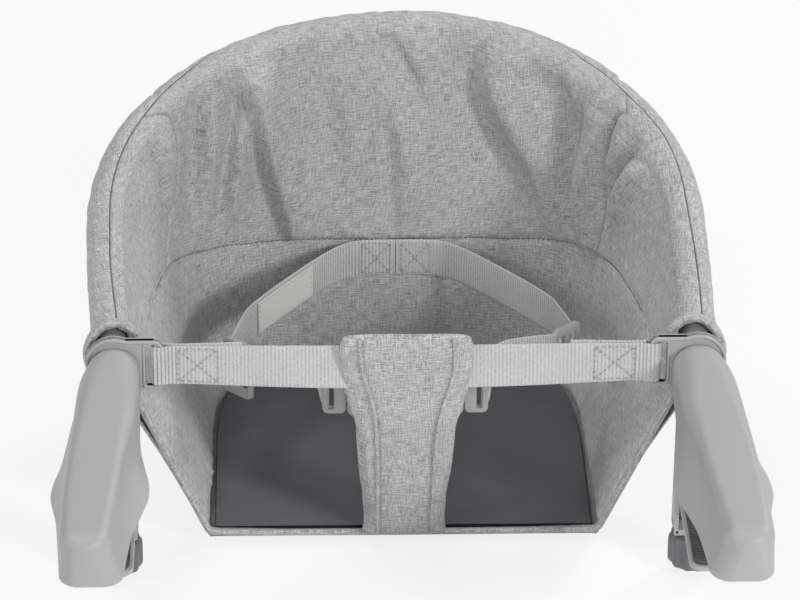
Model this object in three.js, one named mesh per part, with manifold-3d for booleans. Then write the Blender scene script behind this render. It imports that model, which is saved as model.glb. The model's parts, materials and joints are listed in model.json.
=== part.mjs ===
// Hook-on table chair: a fabric bucket seat on a bent tube, with two folding arms that lie on the table
// and screw clamps that grip it from below. Millimetres, +Z up, +Y towards the seat's back, +X to the right.
// The origin is on the table top, at the middle of the table's edge.
import * as THREE from "three";
import { mergeVertices } from "three/addons/utils/BufferGeometryUtils.js";
import Module from "manifold-3d";

const wasm = await Module();
wasm.setup();

// Clearances and general walls
const touchGap = 0.3;
const runningGap = 0.4;
const cutOverrun = 5;
const clothThickness = 1.5;
const webbingWidth = 25;
const webbingThickness = 1.6;

// Bent tube that carries the seat and the arms
const armSpacing = 338;
const tubeDiameter = 19;
const tubeWall = 1.5;
const tubeBed = 2.3;
const tubeCover = 5.5;
const tubeFront = -44;
const hoopStart = 35;
const hoopBack = 287;
const hoopSpread = 4;
const hoopCentre = 133;
const hoopRise = 21.3;
const hoopBend = 14;
const bendPlace = 46;
const sleeveWall = 2.1;

// Seat bucket
const seatBottom = -111.5;
const baseHalfWidth = 115;
const baseFront = 45;
const baseCentre = 105;
const baseBack = 236;
const seamHeight = -20;
const panelThickness = 2.6;
const panelGap = 2;
const boardThickness = 4;
const floorClothThickness = 1.8;
const boardInset = 3;
const wallDip = 2;
const hoopRoundness = 2.08;
const baseRoundness = 5;
const seamGapShare = 0.002;
const sideShare = 0.1875;
const cornerSeamShare = 0.3125;
const foldDepth = 3.6;
const foldWidth = 17;
const sideCrown = 2.4;

// Arms
const armRear = 24;
const armNose = -185;
const footHeight = 1.4;
const flareReach = 32.2;
const noseRound = 12;
const noseEdge = 5;
const shellWall = 2.6;
const basePlate = 1.8;
const tablePadInset = 4.5;
const tablePadRear = -3;
const bossRadius = 4;
const bossFoot = 9.3;

// Pivot bearings of the arms
const bushWall = 1.6;
const rearBushLength = 7.2;
const frontBushLength = 10;
const frontBushPlace = -36;
const plugHead = 2.4;
const plugDepth = 10;
const plugHeadRadius = 10.5;
const washerThickness = 0.5;

// Collars that hold the front strap
const collarThickness = 6;
const collarRadius = 16.5;
const collarLift = 3.5;
const earThickness = 4;
const earInner = 28;
const earFoot = 1.5;
const earTop = 33.6;
const earRound = 5;
const slotInner = 18;
const slotWidth = 5.5;
const slotHeight = 27;
const slotFoot = 4;

// Clamps
const postHalfWidth = 12;
const postFront = 1.2;
const postBack = 19;
const postWall = 2.4;
const postFoot = -86;
const postTopPlate = 4.1;
const leadPlace = 9;
const leadRadius = 3.9;
const leadSeat = 2;
const knobRadius = 14.5;
const knobHeight = 21;
const knobLobes = 10;
const knobLobeDepth = 1.1;
const knobBevel = 1.5;
const knobGap = 1;
const jawGap = 40;
const jawReach = -100;
const jawPadThickness = 3;
const jawHeight = 13;
const jawHalfWidth = 13;
const jawTipHeight = 7;
const jawRib = 3;
const jawPadInset = 2;
const nutRadius = 5.6;
const nutHeight = 8;

// Screws
const screwRadius = 1.6;
const screwHole = 1.9;
const screwHead = 2.9;
const screwHeadHeight = 2.3;
const postScrewAcross = 6.3;
const postScrewPlace = 4.6;
const postScrewLength = 8;
const postBossHeight = 3.8;
const baseScrewLength = 13;

// Front strap and crotch pad
const strapFoot = 5;
const strapPlace = 27.4;
const strapDoubled = 46;
const strapSeparation = 0.5;
const padTop = 38;
const padHalfWidth = 37.5;
const padWaistHalfWidth = 31.5;
const padFootHalfWidth = 27;
const padThickness = 13;
const padFootThickness = 5.6;
const padFootPlace = 41;
const padFoot = -109;
const tunnelGap = 0.8;

// Harness buckle
const buckleHalfWidth = 34;
const buckleTop = 7.5;
const buckleFoot = -24.5;
const buckleFront = 37.5;
const buckleDepth = 12;
const buckleRound = 5;
const tongueThickness = 5;
const tongueFrameLength = 14;
const tongueBar = 3.6;
const tonguePlateLength = 16;
const tonguePlateHeight = 17;
const pocketGap = 0.6;
const adjusterLength = 22;
const adjusterWidth = 34;
const adjusterThickness = 3.6;
const adjusterBar = 3.2;
const adjusterX = 98;
const adjusterY = 105;
const leftAdjusterHeight = -30;
const rightAdjusterHeight = -22;
const adjusterRound = 4;
const waistSewn = 40;
const waistHeight = -30;
const labelLength = 60;
const labelWidth = 20;
const labelThickness = 0.8;

// Colours of the moulded, sewn and metal parts
const finishes = {
  armPlastic: { color: 0xb2b2b3, roughness: 0.5, metalness: 0 },
  darkPlastic: { color: 0x6f7072, roughness: 0.55, metalness: 0 },
  bucklePlastic: { color: 0xa8a8a9, roughness: 0.5, metalness: 0 },
  bushPlastic: { color: 0xe6e6e2, roughness: 0.45, metalness: 0 },
  tubeMetal: { color: 0x77787a, roughness: 0.45, metalness: 0.4 },
  steel: { color: 0xb8babd, roughness: 0.3, metalness: 1 },
  brass: { color: 0xb99a55, roughness: 0.35, metalness: 1 },
  rubber: { color: 0x4a4b4d, roughness: 0.85, metalness: 0 },
  cloth: { color: 0xaaaaab, roughness: 0.95, metalness: 0 },
  webbing: { color: 0xc9c9ca, roughness: 0.9, metalness: 0 },
  floorCloth: { color: 0x55565a, roughness: 0.9, metalness: 0 },
  board: { color: 0x3d3e40, roughness: 0.7, metalness: 0 },
  labelCloth: { color: 0xe9e8e4, roughness: 0.85, metalness: 0 },
};

// Facets of round pieces, and how near two points have to be to count as one
const hoopSteps = 32;
const wallSteps = 6;
const pipeSides = 10;
const roundSides = 20;
const wideSides = 24;
const rodSides = 16;
const bossSides = 12;
const screwSides = 10;
const holeSides = 8;
const roundSegments = 10;
const weldReach = 1e-4;

const lerp = THREE.MathUtils.lerp;
const tubeRadius = tubeDiameter / 2;
const halfSpacing = armSpacing / 2;
const hoopHalfWidth = halfSpacing + hoopSpread;
// The tube lies in a bed above the arm's floor plate, under the arm's cover.
const axisHeight = footHeight + basePlate + tubeBed + tubeRadius;
const armHeight = axisHeight + tubeRadius + tubeCover;
const bushInner = tubeRadius + runningGap;
const bushOuter = bushInner + bushWall;
const bearingRadius = bushOuter + touchGap;
const sleeveInner = tubeRadius + runningGap;
const sleeveRadius = sleeveInner + sleeveWall;
const strapMiddle = strapFoot + webbingWidth / 2;
const boardFoot = seatBottom + clothThickness + touchGap;
const floorClothFoot = boardFoot + boardThickness + touchGap;

// Turns a geometry into a closed solid that can be cut and joined.
function solidOf(geometry) {
  const bare = geometry.clone();
  bare.deleteAttribute("normal");
  bare.deleteAttribute("uv");
  const merged = mergeVertices(bare, weldReach);
  const vertProperties = merged.getAttribute("position").array;
  const mesh = new wasm.Mesh({ numProp: 3, vertProperties, triVerts: merged.index.array });
  return new wasm.Manifold(mesh);
}

// Turns a solid back into a geometry that a mesh can hold.
function geometryOf(solid) {
  const mesh = solid.getMesh();
  const geometry = new THREE.BufferGeometry();
  geometry.setAttribute("position", new THREE.BufferAttribute(mesh.vertProperties, mesh.numProp));
  geometry.setIndex(new THREE.BufferAttribute(mesh.triVerts, 1));
  return geometry;
}

function joined(geometries) {
  return geometryOf(geometries.map(solidOf).reduce((sum, next) => sum.add(next)));
}

function cutFrom(geometry, cutters) {
  const whole = solidOf(geometry);
  return geometryOf(cutters.map(solidOf).reduce((rest, next) => rest.subtract(next), whole));
}

// A box between two corners.
function boxBetween(x0, y0, z0, x1, y1, z1) {
  const box = new THREE.BoxGeometry(x1 - x0, y1 - y0, z1 - z0);
  return box.translate((x0 + x1) / 2, (y0 + y1) / 2, (z0 + z1) / 2);
}

// A solid of revolution from radius and height pairs, round an upright axis.
function turned(profile, sides) {
  const points = profile.map(([radius, height]) => new THREE.Vector2(radius, height));
  return new THREE.LatheGeometry(points, sides).rotateX(Math.PI / 2);
}

function disc(radius, low, high, sides) {
  const profile = [[0, low], [radius, low], [radius, high], [0, high]];
  return turned(profile, sides);
}

function ring(inner, outer, low, high, sides) {
  const profile = [[inner, low], [outer, low], [outer, high], [inner, high], [inner, low]];
  return turned(profile, sides);
}

// The same upright disc at several places in plan.
function discsAt(places, radius, low, high, sides) {
  return places.map(([x, y]) => disc(radius, low, high, sides).translate(x, y, 0));
}

// Lays a piece that was made upright along +Y, at the height of the tube's axis.
function alongTube(geometry) {
  return geometry.rotateX(-Math.PI / 2).translate(0, 0, axisHeight);
}

function pointsOf(vectors) {
  const geometry = new THREE.BufferGeometry();
  const numbers = vectors.flatMap((vector) => vector.toArray());
  geometry.setAttribute("position", new THREE.Float32BufferAttribute(numbers, 3));
  return geometry;
}

// A closed skin over rings with as many points each, with flat ends.
function lofted(rings) {
  const count = rings[0].length;
  const vectors = rings.flat();
  const faces = [];
  for (let r = 0; r + 1 < rings.length; r++) {
    for (let i = 0; i < count; i++) {
      const a = r * count + i;
      const b = r * count + ((i + 1) % count);
      faces.push(a, b, b + count, a, b + count, a + count);
    }
  }
  const lastRing = (rings.length - 1) * count;
  for (const first of [0, lastRing]) {
    const middle = new THREE.Vector3();
    for (let i = 0; i < count; i++) {
      middle.addScaledVector(vectors[first + i], 1 / count);
    }
    vectors.push(middle);
    for (let i = 0; i < count; i++) {
      const a = first + i;
      const b = first + ((i + 1) % count);
      const pair = first === lastRing ? [a, b] : [b, a];
      faces.push(vectors.length - 1, ...pair);
    }
  }
  return facingOut(pointsOf(vectors).setIndex(faces));
}

// Turns the faces of a closed skin round where they point inwards.
function facingOut(geometry) {
  const place = geometry.getAttribute("position");
  const index = geometry.index.array;
  const corner = (i) => new THREE.Vector3().fromBufferAttribute(place, index[i]);
  let volume = 0;
  for (let i = 0; i < index.length; i += 3) {
    volume += corner(i).dot(corner(i + 1).cross(corner(i + 2)));
  }
  for (let i = 0; volume < 0 && i < index.length; i += 3) {
    [index[i + 1], index[i + 2]] = [index[i + 2], index[i + 1]];
  }
  return geometry;
}

// A sheet of cloth or board that follows a surface, between two offsets along the surface's normal.
function sheetOn(surface, across, up, low, high) {
  const nearShare = 1e-3;
  const vectors = [];
  const clamp = (share) => THREE.MathUtils.clamp(share, 0, 1);
  for (const offset of [low, high]) {
    for (let i = 0; i <= across; i++) {
      for (let j = 0; j <= up; j++) {
        const s = i / across;
        const v = j / up;
        const alongS = surface(clamp(s + nearShare), v).sub(surface(clamp(s - nearShare), v));
        const alongV = surface(s, clamp(v + nearShare)).sub(surface(s, clamp(v - nearShare)));
        const normal = alongS.cross(alongV).normalize();
        const reach = typeof offset === "function" ? offset(s, v) : offset;
        vectors.push(surface(s, v).addScaledVector(normal, reach));
      }
    }
  }
  const layer = (across + 1) * (up + 1);
  const at = (i, j) => i * (up + 1) + j;
  const faces = [];
  const quad = (a, b, c, d) => faces.push(a, b, c, a, c, d);
  for (let i = 0; i < across; i++) {
    for (let j = 0; j < up; j++) {
      quad(at(i, j), at(i + 1, j), at(i + 1, j + 1), at(i, j + 1));
      quad(layer + at(i, j), layer + at(i, j + 1), layer + at(i + 1, j + 1), layer + at(i + 1, j));
    }
    quad(at(i, 0), layer + at(i, 0), layer + at(i + 1, 0), at(i + 1, 0));
    quad(at(i, up), at(i + 1, up), layer + at(i + 1, up), layer + at(i, up));
  }
  for (let j = 0; j < up; j++) {
    quad(at(0, j), at(0, j + 1), layer + at(0, j + 1), layer + at(0, j));
    quad(at(across, j), layer + at(across, j), layer + at(across, j + 1), at(across, j + 1));
  }
  return facingOut(pointsOf(vectors).setIndex(faces));
}

function outlineShape(points) {
  return new THREE.Shape(points.map(([x, y]) => new THREE.Vector2(x, y)));
}

// A plate of an outline drawn in plan, between two heights. Each arc of the outline gets twice the segments.
function plate(shape, low, high, curveSegments = 2) {
  const settings = { depth: high - low, bevelEnabled: false, curveSegments };
  return new THREE.ExtrudeGeometry(shape, settings).translate(0, 0, low);
}

// A plate of an outline drawn in X and Z, between two places along Y.
function uprightPlate(shape, front, back, curveSegments = 2) {
  const settings = { depth: back - front, bevelEnabled: false, curveSegments };
  return new THREE.ExtrudeGeometry(shape, settings).rotateX(Math.PI / 2).translate(0, back, 0);
}

// A rectangle with round corners, as a shape.
function roundedRectangle(x0, y0, x1, y1, radius) {
  const shape = new THREE.Shape();
  shape.moveTo(x0 + radius, y0);
  shape.lineTo(x1 - radius, y0);
  shape.absarc(x1 - radius, y0 + radius, radius, -Math.PI / 2, 0);
  shape.lineTo(x1, y1 - radius);
  shape.absarc(x1 - radius, y1 - radius, radius, 0, Math.PI / 2);
  shape.lineTo(x0 + radius, y1);
  shape.absarc(x0 + radius, y1 - radius, radius, Math.PI / 2, Math.PI);
  shape.lineTo(x0, y0 + radius);
  shape.absarc(x0 + radius, y0 + radius, radius, Math.PI, 1.5 * Math.PI);
  return shape;
}

// Webbing along a path: each ring is the band's cross-section, with its width along the given direction, so
// that rings close together never cross where the band slopes.
function webbing(path, width, thickness, widthway) {
  const rings = path.map((point, i) => {
    const before = path[Math.max(i - 1, 0)];
    const after = path[Math.min(i + 1, path.length - 1)];
    const tangent = after.clone().sub(before).normalize();
    const faceway = tangent.clone().cross(widthway).normalize();
    const corner = (a, b) => {
      const edge = point.clone().addScaledVector(widthway, (a * width) / 2);
      return edge.addScaledVector(faceway, (b * thickness) / 2);
    };
    return [corner(-1, -1), corner(1, -1), corner(1, 1), corner(-1, 1)];
  });
  return lofted(rings);
}

// Plan of the seat at one level: straight sides from the front, then a superellipse round the back.
const hoopPlan = {
  frontHalf: halfSpacing,
  sideHalf: hoopHalfWidth,
  front: hoopStart,
  centre: hoopCentre,
  back: hoopBack,
  roundness: hoopRoundness,
};
const basePlan = {
  frontHalf: baseHalfWidth,
  sideHalf: baseHalfWidth,
  front: baseFront,
  centre: baseCentre,
  back: baseBack,
  roundness: baseRoundness,
};

// Plan at a share of the way up from the base to the hoop.
function planBetween(share) {
  const entries = Object.keys(hoopPlan).map((key) => [key, lerp(basePlan[key], hoopPlan[key], share)]);
  return Object.fromEntries(entries);
}

function planPoint(s, plan) {
  const side = s < 0.5 ? -1 : 1;
  const inward = Math.min(s, 1 - s);
  if (inward < sideShare) {
    const along = inward / sideShare;
    const half = plan.sideHalf - (plan.sideHalf - plan.frontHalf) * (1 - along) ** 2;
    return [side * half, lerp(plan.front, plan.centre, along)];
  }
  const angle = ((inward - sideShare) / (0.5 - sideShare)) * (Math.PI / 2);
  const depth = plan.back - plan.centre;
  const x = Math.cos(angle) / plan.sideHalf;
  const y = Math.sin(angle) / depth;
  const reach = (x ** plan.roundness + y ** plan.roundness) ** (-1 / plan.roundness);
  return [side * Math.cos(angle) * reach, plan.centre + Math.sin(angle) * reach];
}

// The height of the tube's axis at a place along Y: level at the arms, then rising to the back.
function hoopHeight(y) {
  const past = y - bendPlace;
  const slope = Math.tan(THREE.MathUtils.degToRad(hoopRise));
  if (past <= -hoopBend) return axisHeight;
  if (past >= hoopBend) return axisHeight + past * slope;
  return axisHeight + ((past + hoopBend) ** 2 / (4 * hoopBend)) * slope;
}

function hoopPoint(s) {
  const [x, y] = planPoint(s, hoopPlan);
  return new THREE.Vector3(x, y, hoopHeight(y));
}

// A point on the seat's wall, by its share round the seat and its height.
function wallPoint(s, z) {
  const share = (z - seatBottom) / (hoopPoint(s).z - seatBottom);
  const [x, y] = planPoint(s, planBetween(share));
  return new THREE.Vector3(x, y, z);
}

function wallTop(s) {
  return hoopPoint(s).z - sleeveRadius - wallDip;
}

function hoopPath() {
  return Array.from({ length: hoopSteps + 1 }, (_, i) => hoopPoint(i / hoopSteps));
}

// Places along the tube: straight through each arm, then round the hoop.
function tubePath() {
  const straightShares = [0, 0.5, 0.96];
  const straightAt = (side) => (share) =>
    new THREE.Vector3(side * halfSpacing, lerp(tubeFront, hoopStart, share), axisHeight);
  const left = straightShares.map(straightAt(-1));
  const right = straightShares.map(straightAt(1)).reverse();
  return [...left, ...hoopPath(), ...right];
}

// Rings of points round a path, square to it, each with its first point level with the path.
function ringsAlong(path, radius, sides) {
  return path.map((point, i) => {
    const before = path[Math.max(i - 1, 0)];
    const after = path[Math.min(i + 1, path.length - 1)];
    const tangent = after.clone().sub(before).normalize();
    const level = tangent.clone().cross(new THREE.Vector3(0, 0, 1)).normalize();
    const up = level.clone().cross(tangent);
    return Array.from({ length: sides }, (_, k) => {
      const angle = (k / sides) * 2 * Math.PI;
      const aside = point.clone().addScaledVector(level, radius * Math.cos(angle));
      return aside.addScaledVector(up, radius * Math.sin(angle));
    });
  });
}

// A round pipe of two radii along a path, made as one skin that turns back through its bore.
function pipe(path, outer, inner, sides) {
  const rings = [...ringsAlong(path, outer, sides), ...ringsAlong(path, inner, sides).reverse()];
  const faces = [];
  for (let r = 0; r < rings.length; r++) {
    const here = r * sides;
    const next = ((r + 1) % rings.length) * sides;
    for (let k = 0; k < sides; k++) {
      const beside = (k + 1) % sides;
      faces.push(here + k, here + beside, next + beside, here + k, next + beside, next + k);
    }
  }
  return facingOut(pointsOf(rings.flat()).setIndex(faces));
}

function hoopTube() {
  return pipe(tubePath(), tubeRadius, tubeRadius - tubeWall, pipeSides);
}

function rimSleeve() {
  return pipe(hoopPath(), sleeveRadius, sleeveInner, pipeSides);
}

// Outer cover of the bucket: one wall of cloth from the base to just below the rim sleeve.
function seatCover() {
  const surface = (s, v) => wallPoint(s, lerp(seatBottom, wallTop(s), v));
  return sheetOn(surface, hoopSteps, wallSteps, -clothThickness, 0);
}

// Steps of the inner panels, across and up
const backPanelSteps = 24;
const sidePanelSteps = 10;
const sidePanelRows = 4;
const lowerBandRows = 2;

// Inner panels lie a small gap inside the cover.
function innerPanel(firstShare, lastShare, lowOf, highOf, across, up, swell) {
  const surface = (s, v) => {
    const place = lerp(firstShare, lastShare, s);
    return wallPoint(place, lerp(lowOf(place), highOf(place), v));
  };
  const low = (s, v) => panelGap + swell(surface(s, v), s, v);
  const high = (s, v) => low(s, v) + panelThickness;
  return sheetOn(surface, across, up, low, high);
}

// Soft folds of the back panel: each leans from a place at the rim to a place at the seam, as shares of the
// hoop's half-width, and stands out by a share of the fold's depth.
const backFoldShares = [
  { rim: -0.56, seam: -0.37, depth: 1 },
  { rim: -0.2, seam: -0.14, depth: 0.45 },
  { rim: 0.02, seam: 0.1, depth: 0.55 },
  { rim: 0.33, seam: 0.48, depth: 0.9 },
  { rim: 0.62, seam: 0.6, depth: 0.6 },
];

// How far the back panel stands out: its folds fade towards the panel's edges.
function foldSwell(point, s, v) {
  const seamShare = 0.08;
  const fade = Math.sqrt(Math.sin(Math.PI * s) * Math.sin(Math.PI * Math.min(v + seamShare, 1)));
  const rise = backFoldShares.reduce((sum, fold) => {
    const middle = lerp(fold.seam, fold.rim, v) * hoopHalfWidth;
    return sum + fold.depth * Math.exp(-(((point.x - middle) / foldWidth) ** 2));
  }, 0);
  return foldDepth * rise * fade;
}

function crownSwell(point, s, v) {
  return sideCrown * Math.sin(Math.PI * s) * Math.sin(Math.PI * v);
}

function backPanel() {
  const low = () => seamHeight + touchGap;
  const first = cornerSeamShare + seamGapShare;
  return innerPanel(first, 1 - first, low, wallTop, backPanelSteps, wallSteps, foldSwell);
}

function sidePanel() {
  const low = () => seamHeight + touchGap;
  const first = 1 - cornerSeamShare + seamGapShare;
  return innerPanel(first, 1, low, wallTop, sidePanelSteps, sidePanelRows, crownSwell);
}

function lowerBand() {
  const low = () => floorClothFoot + floorClothThickness + touchGap;
  const high = () => seamHeight - touchGap;
  return innerPanel(0, 1, low, high, hoopSteps, lowerBandRows, () => 0);
}

// Flat layers of the seat's floor, drawn from the wall's own plan with an inset.
function floorLayer(low, high, inset) {
  const plan = planBetween((low - seatBottom) / (axisHeight - seatBottom));
  const drawn = {
    ...plan,
    frontHalf: plan.frontHalf - inset,
    sideHalf: plan.sideHalf - inset,
    back: plan.back - inset,
  };
  const outline = Array.from({ length: hoopSteps + 1 }, (_, i) => planPoint(i / hoopSteps, drawn));
  return plate(outlineShape(outline), low, high);
}

// Arm sections: distance from the rear end as a share of the arm's length, the inboard and outboard reach of
// the foot and of the top band as shares of the flare's reach, and the round of the band's edges as a share
// of the axis height.
const armSectionShares = [
  { along: 0, inFoot: 0.466, outFoot: 0.466, inBand: 0.466, outBand: 0.466, edge: 0.95 },
  { along: 0.115, inFoot: 0.475, outFoot: 0.675, inBand: 0.452, outBand: 0.6, edge: 0.85 },
  { along: 0.297, inFoot: 0.515, outFoot: 0.79, inBand: 0.452, outBand: 0.64, edge: 0.62 },
  { along: 0.402, inFoot: 0.6, outFoot: 0.86, inBand: 0.385, outBand: 0.655, edge: 0.5 },
  { along: 0.488, inFoot: 0.69, outFoot: 0.96, inBand: 0.325, outBand: 0.67, edge: 0.42 },
  { along: 0.56, inFoot: 0.7, outFoot: 0.99, inBand: 0.28, outBand: 0.68, edge: 0.38 },
  { along: 0.617, inFoot: 0.64, outFoot: 0.94, inBand: 0.26, outBand: 0.69, edge: 0.36 },
  { along: 0.679, inFoot: 0.55, outFoot: 0.87, inBand: 0.235, outBand: 0.7, edge: 0.36 },
  { along: 0.76, inFoot: 0.44, outFoot: 0.825, inBand: 0.2, outBand: 0.72, edge: 0.38 },
  { along: 0.88, inFoot: 0.37, outFoot: 0.77, inBand: 0.15, outBand: 0.725, edge: 0.42 },
  { along: 0.938, inFoot: 0.35, outFoot: 0.745, inBand: 0.13, outBand: 0.72, edge: 0.45 },
];
const reachKeys = ["inFoot", "outFoot", "inBand", "outBand"];
const armSteps = 12;
const noseSteps = 3;
const noseTurnShare = 0.882;
const flareCurve = 1.6;

// Sizes of the arm's section at a share of the way through the list of sections.
function armSectionAt(t) {
  const read = (key) => {
    const points = armSectionShares.map((section) => new THREE.Vector2(section.along, section[key]));
    return new THREE.SplineCurve(points).getPoint(t);
  };
  const edge = read("edge");
  const station = { y: lerp(armRear, armNose, edge.x), edge: edge.y * axisHeight, height: armHeight };
  for (const key of reachKeys) {
    station[key] = read(key).y * flareReach;
  }
  return station;
}

// The nose is closed by sections that shrink along a quarter circle.
function armStations() {
  const stations = Array.from({ length: armSteps + 1 }, (_, i) => armSectionAt(i / armSteps));
  const last = stations[armSteps];
  const run = last.y - armNose;
  for (let i = 1; i <= noseSteps; i++) {
    const angle = ((i * noseTurnShare) / noseSteps) * (Math.PI / 2);
    const drop = 1 - Math.cos(angle);
    const station = { ...last, y: last.y - run * Math.sin(angle), height: armHeight - noseEdge * drop };
    for (const key of reachKeys) {
      station[key] = last[key] - noseRound * drop;
    }
    stations.push(station);
  }
  return stations;
}

// Reach of the arm's side at a share of the way from its foot up to its shoulder.
function sideReach(footReach, bandReach, rise) {
  return bandReach + (footReach - bandReach) * (1 - rise) ** flareCurve;
}

function bandEdge(station) {
  const flatShare = 0.48;
  return Math.min(station.edge, flatShare * (station.inBand + station.outBand));
}

// One ring of the arm's skin, from the outboard foot over the top to the inboard foot, drawn in by an inset.
// A dip carries the foot straight down, so that a hollow cuts right through the bottom.
function armRing(station, inset, dip) {
  const sideSteps = 3;
  const edgeSteps = 3;
  const edge = bandEdge(station) - inset;
  const shoulder = station.height - inset - edge;
  const halfRing = (footReach, bandReach) => {
    const half = dip ? [[footReach - inset, footHeight - dip]] : [];
    for (let i = 0; i < sideSteps; i++) {
      const rise = i / sideSteps;
      half.push([sideReach(footReach, bandReach, rise) - inset, lerp(footHeight, shoulder, rise)]);
    }
    for (let i = 0; i <= edgeSteps; i++) {
      const angle = (i / edgeSteps) * (Math.PI / 2);
      half.push([bandReach - inset - edge * (1 - Math.cos(angle)), shoulder + edge * Math.sin(angle)]);
    }
    return half;
  };
  const outboard = halfRing(station.outFoot, station.outBand);
  const inboard = halfRing(station.inFoot, station.inBand).map(([reach, z]) => [-reach, z]).reverse();
  return [...outboard, ...inboard].map(([x, z]) => new THREE.Vector3(x, insetPlace(station.y, inset), z));
}

// A place along the arm, drawn in towards the arm's middle so that both ends keep the inset.
function insetPlace(y, inset) {
  const middle = (armRear + armNose) / 2;
  return middle + (y - middle) * (1 - (2 * inset) / (armRear - armNose));
}

// Places of the two screws that hold each base, midway across the arm's foot.
function armScrewPlaces() {
  const placeShares = [0.5, 0.8];
  return placeShares.map((share) => {
    const station = armSectionAt(share);
    return [(station.outFoot - station.inFoot) / 2, station.y];
  });
}

function armShell() {
  const stations = armStations();
  const outer = lofted(stations.map((station) => armRing(station, 0, 0)));
  const hollow = lofted(stations.map((station) => armRing(station, shellWall, cutOverrun)));
  const bore = alongTube(disc(bushInner, armRear - shellWall - cutOverrun, armRear + cutOverrun, roundSides));
  const places = armScrewPlaces();
  const bosses = discsAt(places, bossRadius, bossFoot, armHeight - shellWall / 2, bossSides);
  const pilots = discsAt(places, screwHole, bossFoot - cutOverrun, bossFoot + baseScrewLength, holeSides);
  return cutFrom(joined([cutFrom(outer, [hollow, bore]), ...bosses]), pilots);
}

// Outline of the arm in plan at a height above its foot, drawn in by an inset and cut off at a rear limit.
function footOutline(inset, rear, above) {
  const sides = armStations().map((station) => {
    const rise = above / (station.height - bandEdge(station) - footHeight);
    const y = Math.min(insetPlace(station.y, inset), rear);
    return [
      [sideReach(station.outFoot, station.outBand, rise) - inset, y],
      [inset - sideReach(station.inFoot, station.inBand, rise), y],
    ];
  });
  const outboard = sides.map(([point]) => point);
  const inboard = sides.map(([, point]) => point).reverse();
  return outlineShape([...outboard, ...inboard]);
}

const rearSaddle = armRear - shellWall - touchGap - rearBushLength;
const postScrewPlaces = [-1, 1].map((side) => [side * postScrewAcross, postScrewPlace]);
const screwHeadHole = screwHead + touchGap;

// Base of the arm: a floor plate with a saddle under each bush, and bosses for the screws.
function armBase() {
  const floorTop = footHeight + basePlate;
  const floor = plate(footOutline(shellWall + touchGap, armRear, basePlate), footHeight, floorTop);
  const half = bushOuter - touchGap;
  const saddles = [
    boxBetween(-half, rearSaddle, footHeight, half, rearSaddle + rearBushLength, axisHeight),
    boxBetween(-half, frontBushPlace, footHeight, half, frontBushPlace + frontBushLength, axisHeight),
  ];
  const frontBearingEnd = frontBushPlace + frontBushLength + touchGap;
  const bearings = [
    alongTube(disc(bearingRadius, rearSaddle - touchGap, armRear, roundSides)),
    alongTube(disc(bearingRadius, frontBushPlace - touchGap, frontBearingEnd, roundSides)),
  ];
  const places = armScrewPlaces();
  const body = joined([
    floor,
    ...saddles,
    ...discsAt(postScrewPlaces, screwHead, footHeight, footHeight + postBossHeight, screwSides),
    ...discsAt(places, screwHead + basePlate, footHeight, bossFoot - touchGap, bossSides),
  ]);
  const holeFoot = footHeight - cutOverrun;
  return cutFrom(body, [
    ...bearings,
    ...discsAt([...postScrewPlaces, ...places], screwHole, holeFoot, armHeight, holeSides),
    ...discsAt(places, screwHeadHole, holeFoot, footHeight + screwHeadHeight, bossSides),
  ]);
}

function tablePad() {
  const pad = plate(footOutline(tablePadInset, tablePadRear, 0), 0, footHeight - touchGap);
  return cutFrom(pad, discsAt(armScrewPlaces(), screwHeadHole, -cutOverrun, cutOverrun, bossSides));
}

function bush(place, length) {
  return alongTube(ring(bushInner, bushOuter, place, place + length, roundSides));
}

// Plug that closes the tube's end and keeps the arm on it.
function tubePlug() {
  const shank = (tubeRadius - tubeWall) * Math.cos(Math.PI / pipeSides) - touchGap;
  const head = tubeFront - touchGap;
  const profile = [
    [0, head - plugHead],
    [plugHeadRadius, head - plugHead],
    [plugHeadRadius, head],
    [shank, head],
    [shank, head + plugDepth],
    [0, head + plugDepth],
  ];
  return alongTube(turned(profile, rodSides));
}

function foldWasher() {
  const outer = bushOuter + bushWall;
  const front = armRear + touchGap;
  return alongTube(ring(bushInner, outer, front, front + washerThickness, wideSides));
}

const collarFront = armRear + touchGap * 2 + washerThickness;
const earFront = collarFront + (collarThickness - earThickness) / 2;

// Collar on the tube with an ear and slot for the front strap, drawn for the right side, where inboard is -X.
function collar() {
  const round = new THREE.Shape().absarc(0, axisHeight + collarLift, collarRadius, 0, 2 * Math.PI);
  const ear = roundedRectangle(-earInner, earFoot, 0, earTop, earRound);
  const body = joined([
    uprightPlate(round, collarFront, collarFront + collarThickness, roundSegments),
    uprightPlate(ear, earFront, earFront + earThickness),
  ]);
  const cutFront = collarFront - cutOverrun;
  const cutBack = collarFront + collarThickness + cutOverrun;
  const bore = alongTube(disc(tubeRadius + touchGap, cutFront, cutBack, wideSides));
  const slotOuter = -slotInner - slotWidth;
  const slot = boxBetween(slotOuter, cutFront, slotFoot, -slotInner, cutBack, slotFoot + slotHeight);
  return cutFrom(body, [bore, slot]);
}

const postTop = footHeight - touchGap;
const postSeat = postTop - postTopPlate;

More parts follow.
